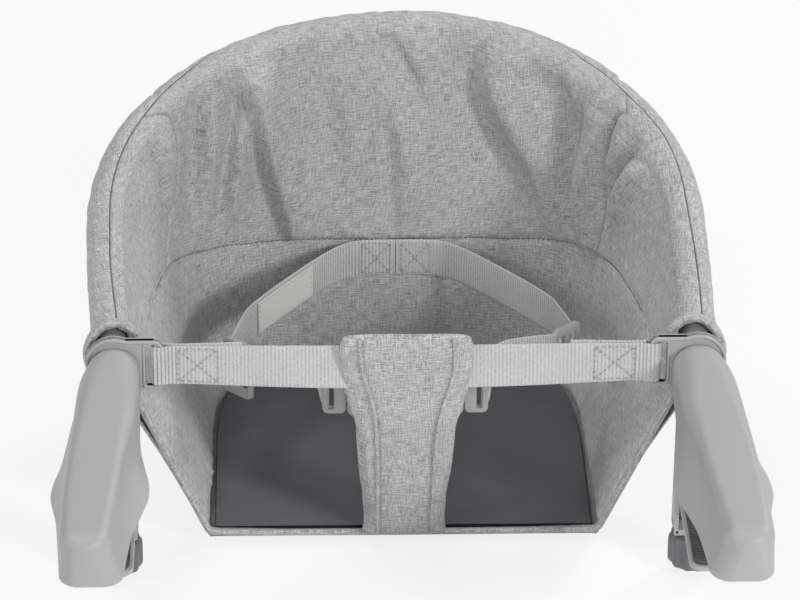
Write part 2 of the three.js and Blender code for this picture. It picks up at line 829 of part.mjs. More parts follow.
// Clamp post: a channel that hangs from the arm behind the table's edge, open towards the table.
function clampPost() {
  const inner = postHalfWidth - postWall;
  const channel = outlineShape([
    [-postHalfWidth, postFront],
    [-inner, postFront],
    [-inner, postBack - postWall],
    [inner, postBack - postWall],
    [inner, postFront],
    [postHalfWidth, postFront],
    [postHalfWidth, postBack],
    [-postHalfWidth, postBack],
  ]);
  const whole = roundedRectangle(-postHalfWidth, postFront, postHalfWidth, postBack, postWall / 2);
  const footPlateTop = postFoot + postTopPlate;
  const body = joined([
    plate(channel, postFoot, postTop),
    plate(whole, postSeat, postTop),
    plate(whole, postFoot, footPlateTop),
  ]);
  return cutFrom(body, [
    ...discsAt(postScrewPlaces, screwHole, postSeat - cutOverrun, postTop + cutOverrun, holeSides),
    leadBore(postSeat - cutOverrun, postSeat + leadSeat),
    leadBore(postFoot - cutOverrun, footPlateTop + touchGap),
  ]);
}

// A hole in which the lead screw turns.
function leadBore(low, high) {
  return disc(leadRadius + runningGap, low, high, roundSides).translate(0, leadPlace, 0);
}

function screw(x, y, seat, length) {
  const foot = seat - screwHeadHeight;
  const top = seat + length;
  const profile = [
    [0, foot],
    [screwHead, foot],
    [screwHead, seat],
    [screwRadius, seat],
    [screwRadius, top],
    [0, top],
  ];
  return turned(profile, screwSides).translate(x, y, 0);
}

const knobTop = postFoot - knobGap;

function leadScrew() {
  const top = postSeat + leadSeat - touchGap;
  return disc(leadRadius, knobTop - knobHeight / 2, top, rodSides).translate(0, leadPlace, 0);
}

// Knob with a lobed grip, bored for the lead screw.
function knob() {
  const stepsPerLobe = 4;
  const steps = knobLobes * stepsPerLobe;
  const outline = Array.from({ length: steps }, (_, i) => {
    const angle = (i / steps) * 2 * Math.PI;
    const dip = (knobLobeDepth / 2) * (1 - Math.cos(knobLobes * angle));
    const reach = knobRadius - knobBevel - dip;
    return [reach * Math.cos(angle), reach * Math.sin(angle)];
  });
  const grip = new THREE.ExtrudeGeometry(outlineShape(outline), {
    depth: knobHeight - 2 * knobBevel,
    bevelThickness: knobBevel,
    bevelSize: knobBevel,
    bevelSegments: 1,
  });
  grip.translate(0, 0, knobTop - knobHeight + knobBevel);
  const boreFoot = knobTop - knobHeight / 2 - touchGap;
  const bore = disc(leadRadius + touchGap, boreFoot, knobTop + cutOverrun, rodSides);
  return cutFrom(grip, [bore]).translate(0, leadPlace, 0);
}

const jawTop = -jawGap - jawPadThickness - touchGap;
const jawFoot = jawTop - jawHeight;

// Jaw: a block that rides on the lead screw inside the post, with an arm that reaches under the table.
function jaw() {
  const blockHalf = postHalfWidth - postWall - touchGap;
  const blockBack = postBack - postWall - touchGap;
  const blockFront = postFront - postWall;
  const block = boxBetween(-blockHalf, blockFront, jawFoot, blockHalf, blockBack, jawTop);
  const tipRound = jawHalfWidth / 2;
  const plan = roundedRectangle(-jawHalfWidth, jawReach, jawHalfWidth, blockFront + touchGap, tipRound);
  const flange = plate(plan, jawTop - jawRib, jawTop);
  const side = outlineShape([
    [blockFront, jawFoot],
    [blockFront, jawTop - jawRib / 2],
    [jawReach + tipRound, jawTop - jawRib / 2],
    [jawReach + tipRound, jawTop - jawTipHeight],
  ]);
  const rib = new THREE.ExtrudeGeometry(side, { depth: 2 * blockHalf, bevelEnabled: false });
  const web = rib.applyMatrix4(uprightAcross(-blockHalf, 0, 0));
  const pocketTop = jawFoot + nutHeight + touchGap;
  const nutPocket = disc(nutRadius + touchGap, jawFoot - cutOverrun, pocketTop, roundSides);
  return cutFrom(joined([block, flange, web]), [
    leadBore(jawFoot - cutOverrun, jawTop + cutOverrun),
    nutPocket.translate(0, leadPlace, 0),
  ]);
}

// Stands a piece that was drawn in plan upright, facing along X, with its own X along Y, at a place.
function uprightAcross(x, y, z) {
  return new THREE.Matrix4().set(0, 0, 1, x, 1, 0, 0, y, 0, 1, 0, z, 0, 0, 0, 1);
}

function jawNut() {
  const nut = ring(leadRadius + runningGap, nutRadius, jawFoot, jawFoot + nutHeight, roundSides);
  return nut.translate(0, leadPlace, 0);
}

function jawPad() {
  const half = jawHalfWidth - jawPadInset;
  const plan = roundedRectangle(-half, jawReach + jawPadInset, half, -jawPadInset * 3, half / 2);
  return plate(plan, jawTop + touchGap, -jawGap);
}

// Front strap: across the front, through each collar's slot and back, sewn double at both ends.
function frontStrap() {
  const barOuter = halfSpacing - slotInner - slotWidth;
  const barInner = halfSpacing - earInner;
  const frontLayer = earFront - touchGap - webbingThickness / 2;
  const backLayer = earFront + earThickness + touchGap + webbingThickness / 2;
  const slotLayer = barOuter + touchGap * 2 + webbingThickness / 2;
  const doubled = strapPlace + webbingThickness + strapSeparation;
  const turnPlace = barInner - webbingThickness * 3;
  const half = [
    [barInner - strapDoubled, doubled],
    [turnPlace, doubled],
    [barInner, backLayer],
    [barOuter, backLayer],
    [slotLayer, backLayer - webbingThickness],
    [slotLayer, frontLayer + webbingThickness],
    [barOuter, frontLayer],
    [barInner, frontLayer],
    [turnPlace, strapPlace],
  ];
  const left = half.map(([x, y]) => new THREE.Vector3(-x, y, strapMiddle));
  const right = half.map(([x, y]) => new THREE.Vector3(x, y, strapMiddle)).reverse();
  return webbing([...left, ...right], webbingWidth, webbingThickness, new THREE.Vector3(0, 0, 1));
}

// Crotch pad: a padded sleeve round the middle of the front strap that runs down to the front of the floor.
// Its stations and stages are shares of the way down from its top edge.
const padStationShares = [0, 0.02, 0.07, 0.2, 0.38, 0.46, 0.6, 0.85, 1];
const padHemShares = { reach: 0.07, thickness: 0.45 };
const padWaistShares = { start: 0.15, end: 0.45 };
const padThinShares = { start: 0.3, end: 0.55 };
const padBackwardShare = 0.25;
const padEdgeCurve = 0.45;
const padFaceCurve = 0.75;

// A cosine or sine made fuller or slimmer by a power, with its sign kept.
function curved(value, power) {
  return Math.sign(value) * Math.abs(value) ** power;
}

function padRing(share) {
  const { smoothstep } = THREE.MathUtils;
  const waist = smoothstep(share, padWaistShares.start, padWaistShares.end);
  const thin = smoothstep(share, padThinShares.start, padThinShares.end);
  const below = smoothstep(share, padBackwardShare, 1);
  const closing = lerp(padHemShares.thickness, 1, Math.sqrt(Math.min(share / padHemShares.reach, 1)));
  const fullHalf = lerp(lerp(padHalfWidth, padWaistHalfWidth, waist), padFootHalfWidth, below * below);
  const half = fullHalf - (1 - closing) * padThickness;
  const thick = lerp(padThickness, padFootThickness, thin) * closing;
  const y = lerp(strapPlace, padFootPlace, below);
  const z = lerp(padTop, padFoot, share);
  return Array.from({ length: roundSides }, (_, k) => {
    const angle = (k / roundSides) * 2 * Math.PI;
    const across = half * curved(Math.cos(angle), padEdgeCurve);
    const outward = (thick / 2) * curved(Math.sin(angle), padFaceCurve);
    return new THREE.Vector3(across, y + outward, z);
  });
}

function crotchPad() {
  const rings = padStationShares.map(padRing);
  const low = strapFoot - tunnelGap;
  const high = strapFoot + webbingWidth + tunnelGap;
  const front = strapPlace - webbingThickness / 2 - tunnelGap;
  const back = strapPlace + webbingThickness / 2 + tunnelGap;
  const end = padHalfWidth + cutOverrun;
  const tunnel = boxBetween(-end, front, low, end, back, high);
  return cutFrom(lofted(rings), [tunnel]);
}

const buckleBack = buckleFront + buckleDepth;
const buckleMiddle = (buckleTop + buckleFoot) / 2;
const tonguePlace = buckleFront + buckleDepth / 2;

// Buckle body with a pocket in each side for a tongue.
function buckleBody() {
  const shape = roundedRectangle(-buckleHalfWidth, buckleFoot, buckleHalfWidth, buckleTop, buckleRound);
  const halfHeight = tonguePlateHeight / 2 + pocketGap;
  const halfDepth = tongueThickness / 2 + pocketGap;
  const inner = buckleHalfWidth - tonguePlateLength - pocketGap;
  const pocket = boxBetween(
    inner,
    tonguePlace - halfDepth,
    buckleMiddle - halfHeight,
    buckleHalfWidth + cutOverrun,
    tonguePlace + halfDepth,
    buckleMiddle + halfHeight,
  );
  const otherPocket = pocket.clone().translate(-inner - buckleHalfWidth - cutOverrun, 0, 0);
  return cutFrom(uprightPlate(shape, buckleFront, buckleBack), [pocket, otherPocket]);
}

const webbingSlotHalf = webbingWidth / 2 + touchGap * 2;
const tongueInner = buckleHalfWidth + touchGap * 2;
const tongueOuter = tongueInner + tongueFrameLength;

// Buckle tongue for the right side: a frame that holds the strap and a plate that enters the buckle.
function buckleTongue() {
  const front = tonguePlace - tongueThickness / 2;
  const back = tonguePlace + tongueThickness / 2;
  const outline = roundedRectangle(tongueInner, buckleFoot, tongueOuter, buckleTop, tongueBar);
  const frame = uprightPlate(outline, front, back);
  const half = tonguePlateHeight / 2;
  const tip = buckleHalfWidth - tonguePlateLength;
  const root = tongueInner + tongueBar / 2;
  const tongue = boxBetween(tip, front, buckleMiddle - half, root, back, buckleMiddle + half);
  const slotOuter = tongueOuter - tongueBar;
  const slotInside = slotOuter - webbingThickness * 2;
  const low = buckleMiddle - webbingSlotHalf;
  const high = buckleMiddle + webbingSlotHalf;
  const slot = boxBetween(slotInside, front - cutOverrun, low, slotOuter, back + cutOverrun, high);
  return cutFrom(joined([frame, tongue]), [slot]);
}

// Front half of the waist strap: from the tongue's bar to the adjuster.
function forwardStrap(side, adjusterHeight) {
  const start = tongueOuter + touchGap;
  const end = adjusterY - adjusterLength / 2 - touchGap;
  const turnShares = [
    { out: 0.22, deep: 0.12, down: 0.15 },
    { out: 0.6, deep: 0.42, down: 0.5 },
    { out: 0.9, deep: 0.76, down: 0.85 },
  ];
  const path = [
    new THREE.Vector3(side * start, tonguePlace, buckleMiddle),
    new THREE.Vector3(side * (start + webbingThickness), tonguePlace, buckleMiddle),
    ...turnShares.map(
      (turn) =>
        new THREE.Vector3(
          side * lerp(start, adjusterX, turn.out),
          lerp(tonguePlace, end, turn.deep),
          lerp(buckleMiddle, adjusterHeight, turn.down),
        ),
    ),
    new THREE.Vector3(side * adjusterX, end - webbingThickness, adjusterHeight),
    new THREE.Vector3(side * adjusterX, end, adjusterHeight),
  ];
  return webbing(path, webbingWidth, webbingThickness, new THREE.Vector3(0, 0, 1));
}

// Adjuster: a frame with a middle bar, standing upright on the strap.
function adjuster(side, height) {
  const halfLength = adjusterLength / 2;
  const halfWidth = adjusterWidth / 2;
  const shape = roundedRectangle(-halfLength, -halfWidth, halfLength, halfWidth, adjusterRound);
  const frame = plate(shape, -adjusterThickness / 2, adjusterThickness / 2);
  const inner = adjusterBar / 2;
  const outer = halfLength - adjusterBar;
  const slot = boxBetween(inner, -webbingSlotHalf, -cutOverrun, outer, webbingSlotHalf, cutOverrun);
  const otherSlot = slot.clone().translate(-inner - outer, 0, 0);
  return cutFrom(frame, [slot, otherSlot]).applyMatrix4(uprightAcross(side * adjusterX, adjusterY, height));
}

// Places of the back half of the waist strap, from the adjuster to the seat's back, by share of the way.
function waistPath(side, adjusterHeight) {
  const start = adjusterY + adjusterLength / 2 + touchGap;
  const wall = wallPoint(0.5, waistHeight - webbingWidth / 2).y;
  const back = wall - panelGap - panelThickness - webbingThickness;
  const turnShares = [
    { out: 0.985, deep: 0.22, down: 0.2 },
    { out: 0.93, deep: 0.36, down: 0.35 },
    { out: 0.52, deep: 0.81, down: 0.8 },
    { out: 0.34, deep: 0.965, down: 0.95 },
  ];
  return [
    new THREE.Vector3(side * adjusterX, start, adjusterHeight),
    new THREE.Vector3(side * adjusterX, start + webbingThickness, adjusterHeight),
    ...turnShares.map(
      (turn) =>
        new THREE.Vector3(
          side * turn.out * adjusterX,
          lerp(start, back, turn.deep),
          lerp(adjusterHeight, waistHeight, turn.down),
        ),
    ),
    new THREE.Vector3((side * waistSewn) / 2, back, waistHeight),
    new THREE.Vector3(side * touchGap, back, waistHeight),
  ];
}

function waistStrap(side, adjusterHeight) {
  const upward = new THREE.Vector3(0, 0, 1);
  return webbing(waistPath(side, adjusterHeight), webbingWidth, webbingThickness, upward);
}

// Blank sewn label on the inner face of the left strap, on the straight stretch after its second turn.
function labelTab() {
  const upward = new THREE.Vector3(0, 0, 1);
  const [from, to] = waistPath(-1, leftAdjusterHeight).slice(3);
  const away = to.clone().sub(from).normalize();
  const inward = away.clone().cross(upward).normalize();
  const lift = webbingThickness / 2 + touchGap + labelThickness / 2;
  const middle = from.clone().lerp(to, 1 / 2).addScaledVector(inward, lift);
  const half = Math.min(labelLength, from.distanceTo(to)) / 2;
  const ends = [-half, half].map((reach) => middle.clone().addScaledVector(away, reach));
  return webbing(ends, labelWidth, labelThickness, upward);
}

// Short strap that holds the buckle up from the floor, behind the crotch pad.
function crotchStrap() {
  const top = buckleFoot - touchGap;
  const foot = floorClothFoot + floorClothThickness + touchGap;
  const path = [
    new THREE.Vector3(0, baseFront + webbingWidth / 2, foot + webbingThickness / 2),
    new THREE.Vector3(0, baseFront + webbingThickness * 2, foot + webbingThickness),
    new THREE.Vector3(0, baseFront + webbingThickness, foot + webbingWidth / 2),
    new THREE.Vector3(0, tonguePlace, top),
  ];
  return webbing(path, webbingWidth, webbingThickness, new THREE.Vector3(1, 0, 0));
}

const chair = new THREE.Group();

// Adds a piece to a group as a named mesh.
function place(group, name, geometry, finish) {
  const mesh = new THREE.Mesh(geometry, new THREE.MeshStandardMaterial(finishes[finish]));
  mesh.name = name;
  group.add(mesh);
}

// Pieces of the seat, on the symmetry plane or round it
const baseClothTop = seatBottom + clothThickness;
const floorClothTop = floorClothFoot + floorClothThickness;
place(chair, "hoop_tube", hoopTube(), "tubeMetal");
place(chair, "rim_sleeve", rimSleeve(), "cloth");
place(chair, "seat_cover", seatCover(), "cloth");
place(chair, "back_panel", backPanel(), "cloth");
place(chair, "lower_band", lowerBand(), "cloth");
place(chair, "base_cloth", floorLayer(seatBottom, baseClothTop, panelGap), "cloth");
place(chair, "seat_board", floorLayer(boardFoot, boardFoot + boardThickness, boardInset), "board");
place(chair, "floor_panel", floorLayer(floorClothFoot, floorClothTop, boardInset), "floorCloth");
place(chair, "front_strap", frontStrap(), "webbing");
place(chair, "crotch_pad", crotchPad(), "cloth");
place(chair, "crotch_strap", crotchStrap(), "webbing");
place(chair, "buckle_body", buckleBody(), "bucklePlastic");
place(chair, "label_tab", labelTab(), "labelCloth");

// Pieces that come in a left and a right copy
const copies = [
  ["left", -1, leftAdjusterHeight],
  ["right", 1, rightAdjusterHeight],
];
for (const [word, side, adjusterHeight] of copies) {
  place(chair, `${word}_waist_strap`, waistStrap(side, adjusterHeight), "webbing");
  place(chair, `${word}_forward_strap`, forwardStrap(side, adjusterHeight), "webbing");
  place(chair, `${word}_adjuster`, adjuster(side, adjusterHeight), "bucklePlastic");

  const seat = new THREE.Group();
  seat.scale.x = side;
  chair.add(seat);
  place(seat, `${word}_side_panel`, sidePanel(), "cloth");
  place(seat, `${word}_buckle_tongue`, buckleTongue(), "bucklePlastic");

  const arm = new THREE.Group();
  arm.position.x = side * halfSpacing;
  arm.scale.x = side;
  chair.add(arm);
  place(arm, `${word}_arm_shell`, armShell(), "armPlastic");
  place(arm, `${word}_arm_base`, armBase(), "darkPlastic");
  place(arm, `${word}_table_pad`, tablePad(), "rubber");
  place(arm, `${word}_rear_bush`, bush(rearSaddle, rearBushLength), "bushPlastic");
  place(arm, `${word}_front_bush`, bush(frontBushPlace, frontBushLength), "bushPlastic");
  place(arm, `${word}_fold_washer`, foldWasher(), "bushPlastic");
  place(arm, `${word}_tube_plug`, tubePlug(), "darkPlastic");
  place(arm, `${word}_collar`, collar(), "armPlastic");
  place(arm, `${word}_clamp_post`, clampPost(), "armPlastic");
  place(arm, `${word}_lead_screw`, leadScrew(), "steel");
  place(arm, `${word}_knob`, knob(), "darkPlastic");
  place(arm, `${word}_jaw`, jaw(), "armPlastic");
  place(arm, `${word}_jaw_nut`, jawNut(), "brass");
  place(arm, `${word}_jaw_pad`, jawPad(), "rubber");
  postScrewPlaces.forEach(([x, y], i) => {
    const name = `${word}_post_screw_${["inner", "outer"][i]}`;
    place(arm, name, screw(x, y, postSeat - touchGap, postScrewLength), "steel");
  });
  armScrewPlaces().forEach(([x, y], i) => {
    const seatHeight = footHeight + screwHeadHeight - touchGap;
    place(arm, `${word}_base_screw_${i + 1}`, screw(x, y, seatHeight, baseScrewLength), "steel");
  });
}

export default chair;
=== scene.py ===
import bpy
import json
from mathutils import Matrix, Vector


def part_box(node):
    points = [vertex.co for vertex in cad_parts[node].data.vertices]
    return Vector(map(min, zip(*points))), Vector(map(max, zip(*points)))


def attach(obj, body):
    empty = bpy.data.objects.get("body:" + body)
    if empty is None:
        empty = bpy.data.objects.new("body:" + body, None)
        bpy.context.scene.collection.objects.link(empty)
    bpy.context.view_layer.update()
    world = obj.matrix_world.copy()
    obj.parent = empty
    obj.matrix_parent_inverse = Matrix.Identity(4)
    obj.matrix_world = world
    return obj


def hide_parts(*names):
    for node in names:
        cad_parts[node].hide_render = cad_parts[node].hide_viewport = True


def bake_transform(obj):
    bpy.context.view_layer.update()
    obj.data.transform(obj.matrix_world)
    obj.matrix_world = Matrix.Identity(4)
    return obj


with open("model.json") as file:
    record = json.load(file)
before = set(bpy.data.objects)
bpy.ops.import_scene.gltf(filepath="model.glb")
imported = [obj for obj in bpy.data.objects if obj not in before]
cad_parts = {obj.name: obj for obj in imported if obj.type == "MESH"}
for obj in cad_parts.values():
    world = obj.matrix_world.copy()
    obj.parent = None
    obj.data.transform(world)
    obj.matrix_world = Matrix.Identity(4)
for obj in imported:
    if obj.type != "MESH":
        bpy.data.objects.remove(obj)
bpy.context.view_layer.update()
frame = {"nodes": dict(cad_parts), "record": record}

import json
import math

import bmesh
import bpy
import numpy as np
from bpy.props import FloatProperty, FloatVectorProperty, PointerProperty
from bpy.types import Operator, Panel, PropertyGroup
from mathutils import Quaternion, Vector, noise
from mathutils.bvhtree import BVHTree

bl_info = {
    "name": "Hook-on Table Chair",
    "version": (1, 0, 0),
    "blender": (4, 5, 0),
    "location": "View3D > Sidebar > Table Chair",
    "description": "Dresses the frame of a hook-on table chair: cloth seat, harness, arms and clamps",
    "category": "Object",
}

# Sizes of the frame, in metres, as the solids have them

ARM_X = 0.169
AXIS_HEIGHT = 0.015
TUBE_RADIUS = 0.0095
TUBE_FRONT = -0.044
SEAT_BOTTOM = -0.1115
FLOOR_TOP = -0.1036
HOOP_START = 0.035
HOOP_BACK = 0.287
HOOP_RISE = math.radians(21.3)
BEND_PLACE = 0.046
BEND_REACH = 0.014
SIDE_SHARE = 0.1875
CORNER_SHARE = 0.3125
CUFF_LENGTH = 0.055
CUFF_CUT = 0.019
CUFF_FLARE = 0.0035
TUNNEL_START = 0.07

# How the cloth lies on the wall: the angles at which the lining and the cover leave the rim, their gaps to
# the wall, how the lining rolls out below the rim, and how it closes on the cover at the seat's open front
LINING_LEAVES = math.radians(62.0)
COVER_LEAVES = math.radians(104.0)
LINING_REST = 0.0044
COVER_REST = 0.0012
COVER_HANG = 0.028
ROLL_OUT_SHARE = 0.15
ROLL_FADE = 0.010
CLOSING_START = 0.004
CLOSING_END = 0.030
CLOSING_LENGTH = 0.024
SMOOTH_PASSES = 6
SEWN_SHARE = 0.1
HEM_TALL = 1.5

# Length of cloth that the whole way round the seat counts for in folds and gathers
ROUND_LENGTH = 0.8

# Plans of the bucket: half width at the front and at the sides, front, centre, back, roundness
HOOP_PLAN = np.array([0.169, 0.173, 0.035, 0.133, 0.287, 2.08])
BASE_PLAN = np.array([0.115, 0.115, 0.045, 0.105, 0.236, 5.0])

# Length round the rim, along three straight lines, by which the cuffs are measured
PATH_LENGTH = 2 * (HOOP_PLAN[4] - HOOP_START) + 2 * ARM_X

# The sewn seat hangs a little out of true: its back leans to the left and its right side stands higher.
LEAN_SIDEWAYS = -0.0086
LEAN_TILT = 0.0066
LEAN_DROP = 0.0020

# Where the rim's seam lies, as share round the seat and angle outboard of the tube's top
RIM_SEAM = (
    (0.00, -12), (0.06, -16), (0.13, -9), (0.20, -13), (0.29, -10), (0.335, 0), (0.36, 14), (0.385, 32),
    (0.44, 48), (0.50, 56), (0.56, 48), (0.615, 28), (0.64, 10), (0.66, -2), (0.71, -8), (0.75, 6),
    (0.80, 2), (0.88, 14), (0.94, 19), (1.00, 14),
)

# Height of the seam between the upper lining and the lower band, by share round the seat
BAND_SEAM = (
    (0.00, 0.002), (0.20, 0.000), (0.28, -0.004), (0.34, -0.015), (0.38, -0.019), (0.50, -0.0215),
    (0.60, -0.021), (0.66, -0.0155), (0.72, -0.011), (0.80, -0.006), (1.00, 0.000),
)

# The two corner seams of the lining: share of the way down, and share round the seat
LEFT_CORNER_SEAM = ((0.0, 0.287), (0.2, 0.300), (0.45, 0.313), (0.7, 0.299), (1.0, 0.266))
RIGHT_CORNER_SEAM = ((0.0, 0.704), (0.15, 0.716), (0.4, 0.705), (0.8, 0.702), (1.0, 0.694))

ARM_REAR = 0.024
ARM_NOSE = -0.185
ARM_HEIGHT = 0.030
FOOT_HEIGHT = 0.0014
FLARE_REACH = 0.0322
FLARE_CURVE = 1.6
NOSE_ROUND = 0.012
NOSE_EDGE = 0.005
NOSE_TURN = 0.882
SHELL_WALL = 0.0026
BORE_RADIUS = 0.0099

COLLAR_FRONT = 0.0251
COLLAR_THICKNESS = 0.006
COLLAR_RADIUS = 0.0165
COLLAR_LIFT = 0.0035
COLLAR_SLOT = (-0.0235, 0.004, -0.018, 0.031, 0.0012)

POST_HALF = 0.012
POST_FRONT = 0.0012
POST_BACK = 0.019
POST_WALL = 0.0024
POST_FOOT = -0.086
POST_TOP = 0.0011
POST_PLATE = 0.0041
LEAD_Y = 0.009
LEAD_RADIUS = 0.0039
KNOB_TOP = -0.087
KNOB_HEIGHT = 0.021
JAW_TOP = -0.0433
JAW_FOOT = -0.0563
JAW_REACH = -0.100

STRAP_Y = 0.0274
STRAP_MIDDLE = 0.0175
BUCKLE_MIDDLE = -0.0085
TONGUE_Y = 0.0435
ADJUSTER_X = 0.098
ADJUSTER_Y = 0.105
ADJUSTER_HALF = 0.011
ADJUSTER_HEIGHTS = {-1: -0.0295, 1: -0.0205}
ADJUSTER_YAW = math.radians(48.0)
WAIST_HEIGHT = -0.030
WAIST_BACK = 0.2452
STRAP_SAG = 0.0028

# Clearances between pieces, and edges above which a piece is shaded sharp, in degrees
CLEARANCE = 0.0003
SCREW_CLEARANCE = 0.0004
PAD_EDGE = 70.0
SOFT_EDGE = 60.0
SHEET_EDGE = 50.0
MOULDED_EDGE = 38.0
ARM_EDGE = 32.0
METAL_EDGE = 30.0

NEAR = 1e-3
UP = np.array([0.0, 0.0, 1.0])
SIDES = {"left": -1, "right": 1}
COLOURS = {entry["slot"]: entry["base_color"] for entry in frame["record"]["materials"]}


# Settings that a user would change

def length(name, description, default):
    return FloatProperty(
        name=name, description=description, default=default, min=0.0, precision=5,
        subtype="DISTANCE", unit="LENGTH",
    )


def colour(name, description, default):
    return FloatVectorProperty(
        name=name, description=description, default=default, size=3, min=0.0, max=1.0, subtype="COLOR",
    )


class ClothSettings(PropertyGroup):
    """Sizes of the sewn seat."""
    rim_radius: length("Rim radius", "Radius of the cloth where it lies round the tube", 0.0126)
    thickness: length("Cloth thickness", "Thickness of the bucket's quilted cloth", 0.0016)
    seam_width: length("Seam width", "How far from a seam the cloth begins to dip", 0.0040)
    seam_depth: length("Seam depth", "How deep the cloth dips at a seam", 0.0015)
    fold_share: FloatProperty(
        name="Fold share", description="Share of their full height that the folds have", default=1.0,
    )
    slack_depth: length("Slack depth", "Height of the soft waves in the cloth", 0.0020)
    pucker_depth: length("Pucker depth", "Height of the small puckers beside a seam", 0.0013)
    gather_depth: length("Gather depth", "Height of the gathers in the cloth near a cuff", 0.0008)
    hem_radius: length("Hem radius", "Half the thickness of the bound edges", 0.0021)
    yarn: length("Yarn", "Distance between the yarns of the cloth", 0.0007)
    slub: length("Slub", "Length of the light and dark slubs in the yarn", 0.0075)


class HarnessSettings(PropertyGroup):
    """Sizes of the webbing, its stitching and the crotch pad."""
    webbing_width: length("Webbing width", "Width of the harness webbing", 0.025)
    webbing_thickness: length("Webbing thickness", "Thickness of the harness webbing", 0.0016)
    rib_pitch: length("Rib pitch", "Distance between the ribs of the webbing", 0.0022)
    rib_depth: length("Rib depth", "Height of the webbing's ribs", 0.00034)
    stitch_length: length("Stitch length", "Length of one stitch", 0.0024)
    stitch_gap: length("Stitch gap", "Gap between two stitches", 0.0009)
    thread_radius: length("Thread radius", "Half the thickness of the sewing thread", 0.00034)
    piping_radius: length("Piping radius", "Half the thickness of the pad's piping", 0.0012)
    pad_reach: length("Pad reach", "How far the pad's filling may swell", 0.004)


class MouldingSettings(PropertyGroup):
    """Sizes of the moulded and machined pieces."""
    edge: length("Edge round", "Round of the moulded edges", 0.0007)
    knob_radius: length("Knob radius", "Radius of the clamp knob over its lobes", 0.0145)
    lobe_depth: length("Lobe depth", "Depth of the hollows between the knob's lobes", 0.0013)
    thread_pitch: length("Thread pitch", "Pitch of the lead screw's thread", 0.006)
    thread_depth: length("Thread depth", "Depth of the lead screw's thread", 0.0009)
    pad_rib: length("Pad rib pitch", "Distance between the ribs of the rubber pads", 0.003)


class ColourSettings(PropertyGroup):
    """Colours of the finishes."""
    cloth: colour("Cloth", "Middle grey of the woven cloth", COLOURS["seat_cloth"])
    webbing: colour("Webbing", "Colour of the webbing", COLOURS["webbing"])
    floor_cloth: colour("Floor cloth", "Colour of the seat's coated floor cloth", COLOURS["floor_cloth"])
    arm_plastic: colour("Arm plastic", "Colour of the arms, collars and jaws", COLOURS["arm_plastic"])
    dark_plastic: colour("Dark plastic", "Colour of the knobs and bases", COLOURS["dark_plastic"])
    buckle_plastic: colour("Buckle plastic", "Colour of the buckle and adjusters", COLOURS["buckle_plastic"])
    bush_plastic: colour("Bush plastic", "Colour of the bearings", COLOURS["bush_plastic"])
    tube_metal: colour("Tube", "Colour of the powder-coated tube", COLOURS["tube_metal"])
    steel: colour("Steel", "Colour of the zinc-plated steel", COLOURS["steel"])
    brass: colour("Brass", "Colour of the brass nuts", COLOURS["brass"])
    rubber: colour("Rubber", "Colour of the rubber pads", COLOURS["rubber"])
    board: colour("Board", "Colour of the stiffening board", COLOURS["board"])
    label_cloth: colour("Label cloth", "Colour of the blank label tab", COLOURS["label_cloth"])
    thread: colour("Thread", "Colour of the sewing thread", (0.42, 0.42, 0.42))
    # The seam thread is dark partly as painted shade in the seams' creases
    seam_thread: colour("Seam thread", "Colour of the thread sunk in the seams", (0.17, 0.17, 0.17))
    floor: colour("Stage floor", "Colour of the floor under the chair", (0.84, 0.84, 0.84))


class TableChairSettings(PropertyGroup):
    """All settings of the table chair."""
    cloth: PointerProperty(type=ClothSettings)
    harness: PointerProperty(type=HarnessSettings)
    moulding: PointerProperty(type=MouldingSettings)
    colours: PointerProperty(type=ColourSettings)


def settings():
    return bpy.context.scene.table_chair


# Shells: points and faces, before they become a Blender mesh

class Shell:
    """Points and faces of a surface, with each point's place on its cloth in metres."""

    def __init__(self, points, faces, place=None):
        self.points = np.asarray(points, float).reshape(-1, 3)
        self.faces = [tuple(face) for face in faces]
        flat = self.points[:, [0, 2, 1]] if place is None else place
        self.place = np.asarray(flat, float).reshape(-1, 3)

    def moved(self, x=0.0, y=0.0, z=0.0):
        return Shell(self.points + np.array([x, y, z]), self.faces, self.place)

    def mirrored(self):
        faces = [face[::-1] for face in self.faces]
        return Shell(self.points * np.array([-1, 1, 1]), faces, self.place)

    def on_arm(self, side):
        """A piece drawn round the arm's own axis, with outboard as +X, at its place on one side."""
        placed = self.moved(x=ARM_X)
        return placed if side > 0 else placed.mirrored()

    def on_side(self, side):
        return self if side > 0 else self.mirrored()


def merged(shells):
    points, faces, place, start = [], [], [], 0
    for shell in shells:
        points.append(shell.points)
        place.append(shell.place)
        faces += [tuple(i + start for i in face) for face in shell.faces]
        start += len(shell.points)
    return Shell(np.vstack(points), faces, np.vstack(place))


def grid_faces(rows, columns, close_rows=False, close_columns=False):
    faces = []
    for i in range(rows if close_rows else rows - 1):
        here, below = i * columns, (i + 1) % rows * columns
        for j in range(columns if close_columns else columns - 1):
            beside = (j + 1) % columns
            faces.append((here + j, here + beside, below + beside, below + j))
    return faces


def sheet_faces(rows, columns):
    """Faces of a closed sheet: its face, its back, and the strip round its border."""
    count = rows * columns
    faces = grid_faces(rows, columns)
    faces += [tuple(i + count for i in reversed(one)) for one in grid_faces(rows, columns)]
    border = [i * columns for i in range(rows)]
    border += [(rows - 1) * columns + j for j in range(1, columns)]
    border += [i * columns + columns - 1 for i in range(rows - 2, -1, -1)]
    border += [j for j in range(columns - 2, 0, -1)]
    return faces + [(a, b, b + count, a + count) for a, b in zip(border, border[1:] + border[:1])]


def lofted(rings, place=None):
    """A closed skin over rings with as many points each, with flat ends."""
    rings = np.asarray(rings, float)
    rows, columns = rings.shape[:2]
    faces = grid_faces(rows, columns, close_columns=True)
    faces.append(tuple(range(columns)))
    faces.append(tuple((rows - 1) * columns + j for j in reversed(range(columns))))
    return Shell(rings, faces, place)


def looped(rings):
    """A closed skin over rings that come back to the first one."""
    rings = np.asarray(rings, float)
    rows, columns = rings.shape[:2]
    return Shell(rings, grid_faces(rows, columns, close_rows=True, close_columns=True))


